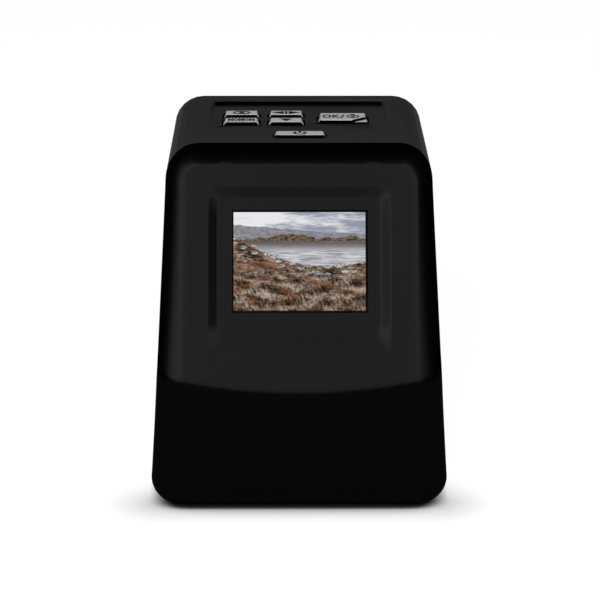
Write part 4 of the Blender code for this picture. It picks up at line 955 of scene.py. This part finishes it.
rubber = moulded("rubber", (0.016, 0.016, 0.016), (0.034, 0.033, 0.032), 0.0006, 0.72, 0.00003)
white_plastic = moulded("white_plastic", (0.66, 0.66, 0.64), (0.74, 0.74, 0.72), 0.004, 0.40, 0.00001)
chip_black = moulded("chip_black", (0.012, 0.012, 0.013), (0.024, 0.024, 0.025), 0.0002, 0.48, 0.00001)
inner_black = moulded("inner_black", (0.009, 0.009, 0.009), (0.018, 0.018, 0.018), 0.0008, 0.66, 0.00003)
opal = moulded("opal", (0.78, 0.80, 0.81), (0.86, 0.88, 0.89), 0.006, 0.46, 0.00001)
lens_tint = moulded(
    "lens_tint",
    (0.16, 0.19, 0.30),
    (0.24, 0.28, 0.40),
    0.006,
    0.04,
    0.000001,
    transmission_weight=0.85,
    coat_weight=0.5,
)

plain_steel, start = new_finish("plain_steel", metallic=1.0)
rolled = start.grain(0.0012, 3.0, 0.6, (1.0, 0.12, 1.0))
rolled.blend((0.50, 0.50, 0.51), (0.62, 0.62, 0.63)).into("Base Color")
(0.26 + 0.16 * rolled).into("Roughness")
rolled.bump(0.000006, 0.4).into("Normal")

# Solder mask over copper tracks that run up the board and are broken up in patches
green_board, start = new_finish("green_board", specular_ior_level=0.45)
across = start.coordinate("X")
patches = start.grain(0.007, 1.0).ramp(0.46, 0.50)
tracks = (across + 0.0008 * start.grain(0.010, 0.0)).maths("PINGPONG", 0.0006).ramp(0.00020, 0.00026)
mask = start.grain(0.0005, 2.0).blend((0.010, 0.085, 0.032), (0.016, 0.115, 0.045))
(tracks * patches).blend(mask, (0.045, 0.24, 0.085)).into("Base Color")
(0.30 + 0.1 * start.grain(0.0008)).into("Roughness")
(tracks * patches).bump(0.00003, 0.5).into("Normal")

# Amber film over flat conductors, side by side
ribbon_film, start = new_finish("ribbon_film", coat_weight=0.3)
conductors = start.coordinate("X").maths("PINGPONG", 0.0004).ramp(0.00014, 0.00022)
conductors.blend((0.42, 0.20, 0.05), (0.62, 0.40, 0.17)).into("Base Color")
(0.32 + 0.1 * start.grain(0.003)).into("Roughness")
conductors.bump(0.00002, 0.5).into("Normal")

works = (
    (rubber, [f"foot_{corner}" for corner in CORNERS]),
    (plain_steel, [f"case_screw_{corner}" for corner in CORNERS]),
    (plain_steel, ["key_board_screw_left", "key_board_screw_right", "usb_socket", "card_socket"]),
    (white_plastic, [f"plunger_{key}" for key in symbols] + ["display_tray", "light_box"]),
    (chip_black, [f"switch_{key}" for key in symbols] + ["image_sensor", "processor", "tv_out_socket"]),
    (green_board, ["key_board", "display_board", "light_board", "sensor_board", "main_board"]),
    (inner_black, ["lower_film_track", "upper_film_track", "optical_chamber", "lens_barrel"]),
    (opal, ["led_left", "led_middle", "led_right", "diffuser"]),
    (lens_tint, ["lens_glass"]),
    (ribbon_film, ["display_ribbon", "sensor_ribbon", "key_ribbon"]),
)
for finish, nodes in works:
    for node in nodes:
        dress(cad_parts[node], finish)

# Contacts

# Rows of stamped legs, tinned at the processor and gilt in the card socket. The processor's are
# bent down to the board on all four sides; the card's hang as springs under the socket's roof.

LEG_THICKNESS = 0.00015
LEG_WIDTH = 0.0003
LEG_PITCH = 0.0006
LEG_ROOT = 0.0002
LEG_SHOULDER = 0.0003
LEG_FOOT = 0.0007
LEG_REACH = 0.0012
LEG_CLEAR = 0.0001
SPRING_WIDTH = 0.0011
SPRING_PITCH = 0.0025
CARD_ROOF = 0.0006


def stamped_leg(width, lines):
    """One leg from its root outwards, bent along these points, given as reach and height."""
    bm = bmesh.new()
    flat_shape(bm, lines + [(reach, height - LEG_THICKNESS) for reach, height in reversed(lines)], width)
    to_side = Matrix(((0, 0, 1, -width / 2), (1, 0, 0, 0), (0, 1, 0, 0), (0, 0, 0, 1)))
    return new_object("stamped_leg", bm, to_side)


def leg_rows(name, leg, sides, finish, place, **sizes):
    """The leg repeated in a row on each of these sides, as quarter turns."""
    tree = bpy.data.node_groups.new(name, "GeometryNodeTree")
    tree.interface.new_socket("Geometry", in_out="OUTPUT", socket_type="NodeSocketGeometry")
    kinds = {"Leg": "Object", "Count": "Int", "Pitch": "Float", "Reach": "Float"}
    for words, kind in kinds.items():
        tree.interface.new_socket(words, in_out="INPUT", socket_type=f"NodeSocket{kind}")
    given = tree.nodes.new("NodeGroupInput")
    start = Wire(tree)
    wires = {words: Wire(tree, given.outputs[words]) for words in kinds}
    first = (wires["Count"] - 1) * wires["Pitch"] * -0.5
    corner = start.node("ShaderNodeCombineXYZ", None, {"X": first, "Y": wires["Reach"]})
    step = start.node("ShaderNodeCombineXYZ", None, {"X": wires["Pitch"]})
    line = {"Count": wires["Count"], "Start Location": corner, "Offset": step}
    line = start.node("GeometryNodeMeshLine", {"mode": "OFFSET"}, line)
    shape = start.node("GeometryNodeObjectInfo", None, {"Object": wires["Leg"]}, "Geometry")
    row = start.node("GeometryNodeInstanceOnPoints", None, {"Points": line, "Instance": shape})
    gathered = tree.nodes.new("GeometryNodeJoinGeometry")
    for side in sides:
        turned = {"Geometry": row, "Rotation": (0.0, 0.0, side * quarter)}
        tree.links.new(start.node("GeometryNodeTransform", None, turned).socket, gathered.inputs[0])
    solid = start.node("GeometryNodeRealizeInstances", None, {"Geometry": Wire(tree, gathered.outputs[0])})
    coated = start.node("GeometryNodeSetMaterial", None, {"Geometry": solid, "Material": finish})
    tree.links.new(coated.socket, tree.nodes.new("NodeGroupOutput").inputs[0])
    rows = bpy.data.objects.new(name, bpy.data.meshes.new(name))
    bpy.context.scene.collection.objects.link(rows)
    repeat = rows.modifiers.new(name, "NODES")
    repeat.node_group = tree
    names = {item.name: item.identifier for item in tree.interface.items_tree}
    for words, value in {"Leg": leg, **sizes}.items():
        repeat[names[words]] = value
    settle(rows)
    bpy.data.objects.remove(leg)
    rows.data.transform(place)
    mount(rows, finish, "housing", "plain_steel")


gilt, start = new_finish("gilt", metallic=1.0)
polish = start.grain(0.0005, 2.0)
polish.blend((0.72, 0.52, 0.22), (0.80, 0.60, 0.28)).into("Base Color")
(0.22 + 0.12 * polish).into("Roughness")

low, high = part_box("processor")
board_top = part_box("main_board")[1].z
shoulder = (low.z + high.z) / 2 - board_top
root = Matrix.Translation(((low.x + high.x) / 2, (low.y + high.y) / 2, board_top))
foot = LEG_CLEAR + LEG_THICKNESS
bends = [(-LEG_ROOT, shoulder), (LEG_SHOULDER, shoulder), (LEG_FOOT, foot), (LEG_REACH, foot)]
tinned_leg = stamped_leg(LEG_WIDTH, bends)
sizes = {"Count": 18, "Pitch": LEG_PITCH, "Reach": (high.x - low.x) / 2}
leg_rows("processor_legs", tinned_leg, range(4), plain_steel, root, **sizes)

low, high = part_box("card_socket")
roof = Matrix.Translation(((low.x + high.x) / 2, 0, high.z - CARD_ROOF))
bends = [(-0.0120, 0.0001), (-0.0050, -0.0001), (-0.0030, -0.0006), (-0.0022, -0.0003)]
spring = stamped_leg(SPRING_WIDTH, bends)
sizes = {"Count": 9, "Pitch": SPRING_PITCH, "Reach": high.y}
leg_rows("card_contacts", spring, range(1), gilt, roof, **sizes)

# Studio

# A white sheet that runs out of sight, and three soft lights raised in front: a broad one ahead
# and a narrower one to each side of it.

SHADOW_HALF = 0.040
SHADOW_REACH = 0.020
SHADOW_DEPTH = 0.60
SHADOW_BEHIND = 0.0045
SHADOW_STRETCH = 0.72
CREVICE = 0.014
CREVICE_OPEN = (0.22, 0.72)
SIDE_EDGE = (-0.004, 0.001)
SIDE_FRONT = (-0.010, 0.002)
SHEET_HALF = 4.0
SHEET_GLOW = 0.93
LIGHT_AWAY = 1.3
LIGHT_AIM = 0.05
LENS = 128.9
CAMERA_ASIDE = -0.0047
CAMERA_AHEAD = 0.5744
CAMERA_RISE = 0.30545
CAMERA_TURN = (math.radians(67.5), -0.002, -0.0075)

floor_bm = bmesh.new()
bmesh.ops.create_grid(floor_bm, x_segments=2, y_segments=2, size=SHEET_HALF)
floor = new_object("floor", floor_bm)
paper, start = new_finish("paper", roughness=0.9, specular_ior_level=0.0)
aside, back = (start.coordinate(axis) for axis in "XY")

# The contact shadow under the front edge, but not beside the case, and the soft one round it
contact = start.node("ShaderNodeAmbientOcclusion", {"samples": 16}, {"Distance": CREVICE}, "AO")
beside = (abs(aside) - BASE_WIDTH / 2).ramp(*SIDE_EDGE) * (back - front_y).ramp(*SIDE_FRONT)
past_end = SHADOW_STRETCH * (abs(aside) - SHADOW_HALF).maths("MAXIMUM", 0.0)
ahead = back - front_y - SHADOW_BEHIND
away = (past_end * past_end + ahead * ahead).maths("SQRT")
shadow = (1.0 - away * (1 / SHADOW_REACH)).maths("MAXIMUM", 0.0)
open_sky = contact.ramp(*CREVICE_OPEN)
open_sky = open_sky.maths("MAXIMUM", beside) * (1.0 - SHADOW_DEPTH * shadow * shadow)
open_sky.blend((0.01, 0.01, 0.01), (0.12, 0.12, 0.12)).into("Base Color")

# The sheet shows white to the camera and in reflections, and lights nothing itself
seen = start.node("ShaderNodeLightPath", output="Is Camera Ray")
for output in ("Is Glossy Ray", "Is Transmission Ray"):
    seen = seen.maths("MAXIMUM", start.node("ShaderNodeLightPath", output=output))
glow = {"Color": (*WHITE, 1.0), "Strength": SHEET_GLOW * seen * open_sky}
glow = start.node("ShaderNodeEmission", None, glow, "Emission")
start.node("ShaderNodeAddShader", None, {0: start.own_shader(), 1: glow}).to_surface()
floor.data.materials.append(paper)


def soft_light(name, turn, rise, width, tall, radiance):
    """A soft light: degrees to the right of the front, degrees up, its spans and its brightness."""
    lamp = bpy.data.lights.new(name, "AREA")
    lamp.shape = "RECTANGLE"
    lamp.size = 2 * LIGHT_AWAY * math.tan(math.radians(width / 2))
    lamp.size_y = 2 * LIGHT_AWAY * math.tan(math.radians(tall / 2))
    lamp.energy = radiance * math.pi * lamp.size * lamp.size_y
    made = bpy.data.objects.new(name, lamp)
    turn, rise = math.radians(turn), math.radians(rise)
    ray = Vector((math.sin(turn) * math.cos(rise), -math.cos(turn) * math.cos(rise), math.sin(rise)))
    made.location = Vector((0, 0, LIGHT_AIM)) + ray * LIGHT_AWAY
    made.rotation_euler = ray.to_track_quat("Z", "Y").to_euler()
    bpy.context.scene.collection.objects.link(made)


soft_light("left_light", -22, 30, 17, 42, 14.0)
soft_light("front_light", 0, 30, 27, 42, 7.6)
soft_light("right_light", 19, 30, 12, 42, 9.8)

world = bpy.data.worlds.new("studio")
world.use_nodes = True
backing = world.node_tree.nodes["Background"]
backing.inputs["Color"].default_value = (0.05, 0.05, 0.05, 1.0)
bpy.context.scene.world = world
bpy.context.scene.view_settings.view_transform = "Standard"

camera_data = bpy.data.cameras.new("camera")
camera_data.lens = LENS
camera_data.sensor_width = 36.0
camera = bpy.data.objects.new("camera", camera_data)
camera.location = (CAMERA_ASIDE, front_y - CAMERA_AHEAD, FOOT_PROUD + CAMERA_RISE)
camera.rotation_euler = CAMERA_TURN
bpy.context.scene.collection.objects.link(camera)
bpy.context.scene.camera = camera
